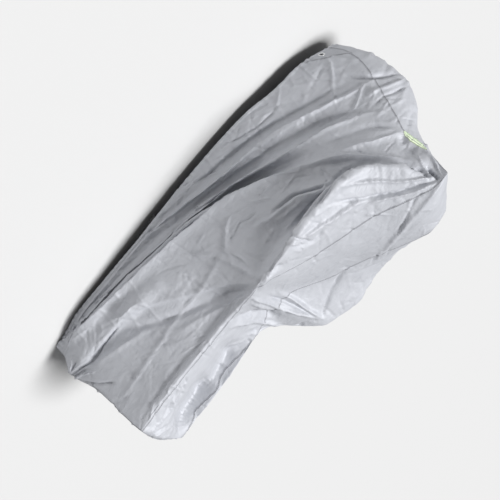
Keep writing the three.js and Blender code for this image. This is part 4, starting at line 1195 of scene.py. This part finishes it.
# %% Tape, metal, webbing and plastic
PALE_LIME, DEEP_GREEN = (0.56, 0.74, 0.44), (0.10, 0.20, 0.05)
CREAM, MOSS = (0.86, 0.95, 0.74), (0.42, 0.52, 0.28)
TAPE_BANDS = [
    (0.0, PALE_LIME),
    (0.22, DEEP_GREEN),
    (0.27, CREAM),
    (0.37, PALE_LIME),
    (0.47, CREAM),
    (0.61, DEEP_GREEN),
    (0.66, CREAM),
    (0.82, MOSS),
]
tape_material, tree, shader = new_material("reflective tape")
place = add(tree, "ShaderNodeTexCoord").outputs
across = add(tree, "ShaderNodeSeparateXYZ", place["UV"])
bands = add(tree, "ShaderNodeValToRGB")
bands.color_ramp.interpolation = "CONSTANT"
for number, (start, colour) in enumerate(TAPE_BANDS):
    stop = bands.color_ramp.elements[0] if number == 0 else bands.color_ramp.elements.new(start)
    stop.position = start
    stop.color = (*colour, 1)
bands.color_ramp.elements.remove(bands.color_ramp.elements[-1])
tree.links.new(across.outputs["Y"], bands.inputs["Fac"])
CELL_SCALE, CELL_STRENGTH, CELL_DEPTH = 420.0, 0.3, 0.0004
TAPE_ROUGH, TAPE_COAT = 0.35, 0.4
cells = add(tree, "ShaderNodeTexVoronoi", place["Object"], Scale=CELL_SCALE).outputs["Distance"]
tree.links.new(bumped(tree, cells, CELL_STRENGTH, CELL_DEPTH), shader.inputs["Normal"])
tree.links.new(bands.outputs["Color"], shader.inputs["Base Color"])
shader.inputs["Roughness"].default_value = TAPE_ROUGH
shader.inputs["Coat Weight"].default_value = TAPE_COAT
for tape in tapes.values():
    paint(tape, tape_material)

GRAIN_STRENGTH = 0.3
NICKEL = (0.66, 0.67, 0.68), (0.80, 0.81, 0.82)
BLACK_PLASTIC = (0.012, 0.012, 0.013), (0.03, 0.03, 0.032)
BLACK_WEBBING = (0.012, 0.012, 0.014), (0.04, 0.04, 0.043)


def grained(name, tones, scale, depth, rough):
    """A material of two close tones in fine grains, with the grain as a bump and in its sheen."""
    material, tree, shader = new_material(name)
    place = add(tree, "ShaderNodeTexCoord").outputs["Object"]
    grains = add(tree, "ShaderNodeTexNoise", place, Scale=scale, Detail=3.0, Roughness=0.6).outputs["Fac"]
    tree.links.new(mixed(tree, grains, *tones), shader.inputs["Base Color"])
    normal = bumped(tree, grains, GRAIN_STRENGTH, depth)
    tree.links.new(normal, shader.inputs["Normal"])
    tree.links.new(sums(tree, "MULTIPLY", grains, 2 * rough), shader.inputs["Roughness"])
    return material, tree, shader, place, normal


metal_material, _, shader, _, _ = grained("nickel", NICKEL, scale=260.0, depth=0.0002, rough=0.28)
shader.inputs["Metallic"].default_value = 1.0
for ring in eyelets.values():
    paint(ring, metal_material)

plastic_material = grained("black plastic", BLACK_PLASTIC, scale=900.0, depth=0.0002, rough=0.45)[0]
webbing_material, tree, shader, place, grain_normal = grained(
    "black webbing", BLACK_WEBBING, scale=700.0, depth=0.0003, rough=0.7,
)
RIB_PERIOD, RIB_STRENGTH, RIB_DEPTH = 0.0022, 0.7, 0.0006
rib_wave = add(tree, "ShaderNodeTexWave", place, bands_direction="X", Scale=WAVE_UNIT / RIB_PERIOD)
rib_normal = bumped(tree, rib_wave.outputs["Fac"], RIB_STRENGTH, RIB_DEPTH, under=grain_normal)
tree.links.new(rib_normal, shader.inputs["Normal"])
for name, fitting in fittings.items():
    paint(fitting, webbing_material if name.startswith("hem_strap") else plastic_material)
print("materials:", len(bpy.data.materials))

# %% [markdown]
# ## The flat sizes
# Each soft piece is listed with its flat size: the five panels with their sewing and the two tapes. The size
# of the imported part and of the dressed one are printed, and the scene is finished.

# %% Sheets and size
with_panel = {
    "centre_panel": [hem, hem_thread],
    "side_panel_left": [ribs["left"], seam_thread],
    "side_panel_right": [ribs["right"]],
    "eyelet_patch_left": [eyelets["left"]],
    "eyelet_patch_right": [eyelets["right"]],
}
for name, (width, length, area, _) in CUTS.items():
    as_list(with_panel[name])
TAPE_FLAT = {"left": (0.046, 0.148, 0.0047), "right": (0.046, 0.184, 0.0058)}
for side in ("left", "right"):
    width, length, area = TAPE_FLAT[side]

size = {"cad": cad_box, "scene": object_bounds()}
{name: [[float(value) for value in corner] for corner in box] for name, box in size.items()}
print("size", size)
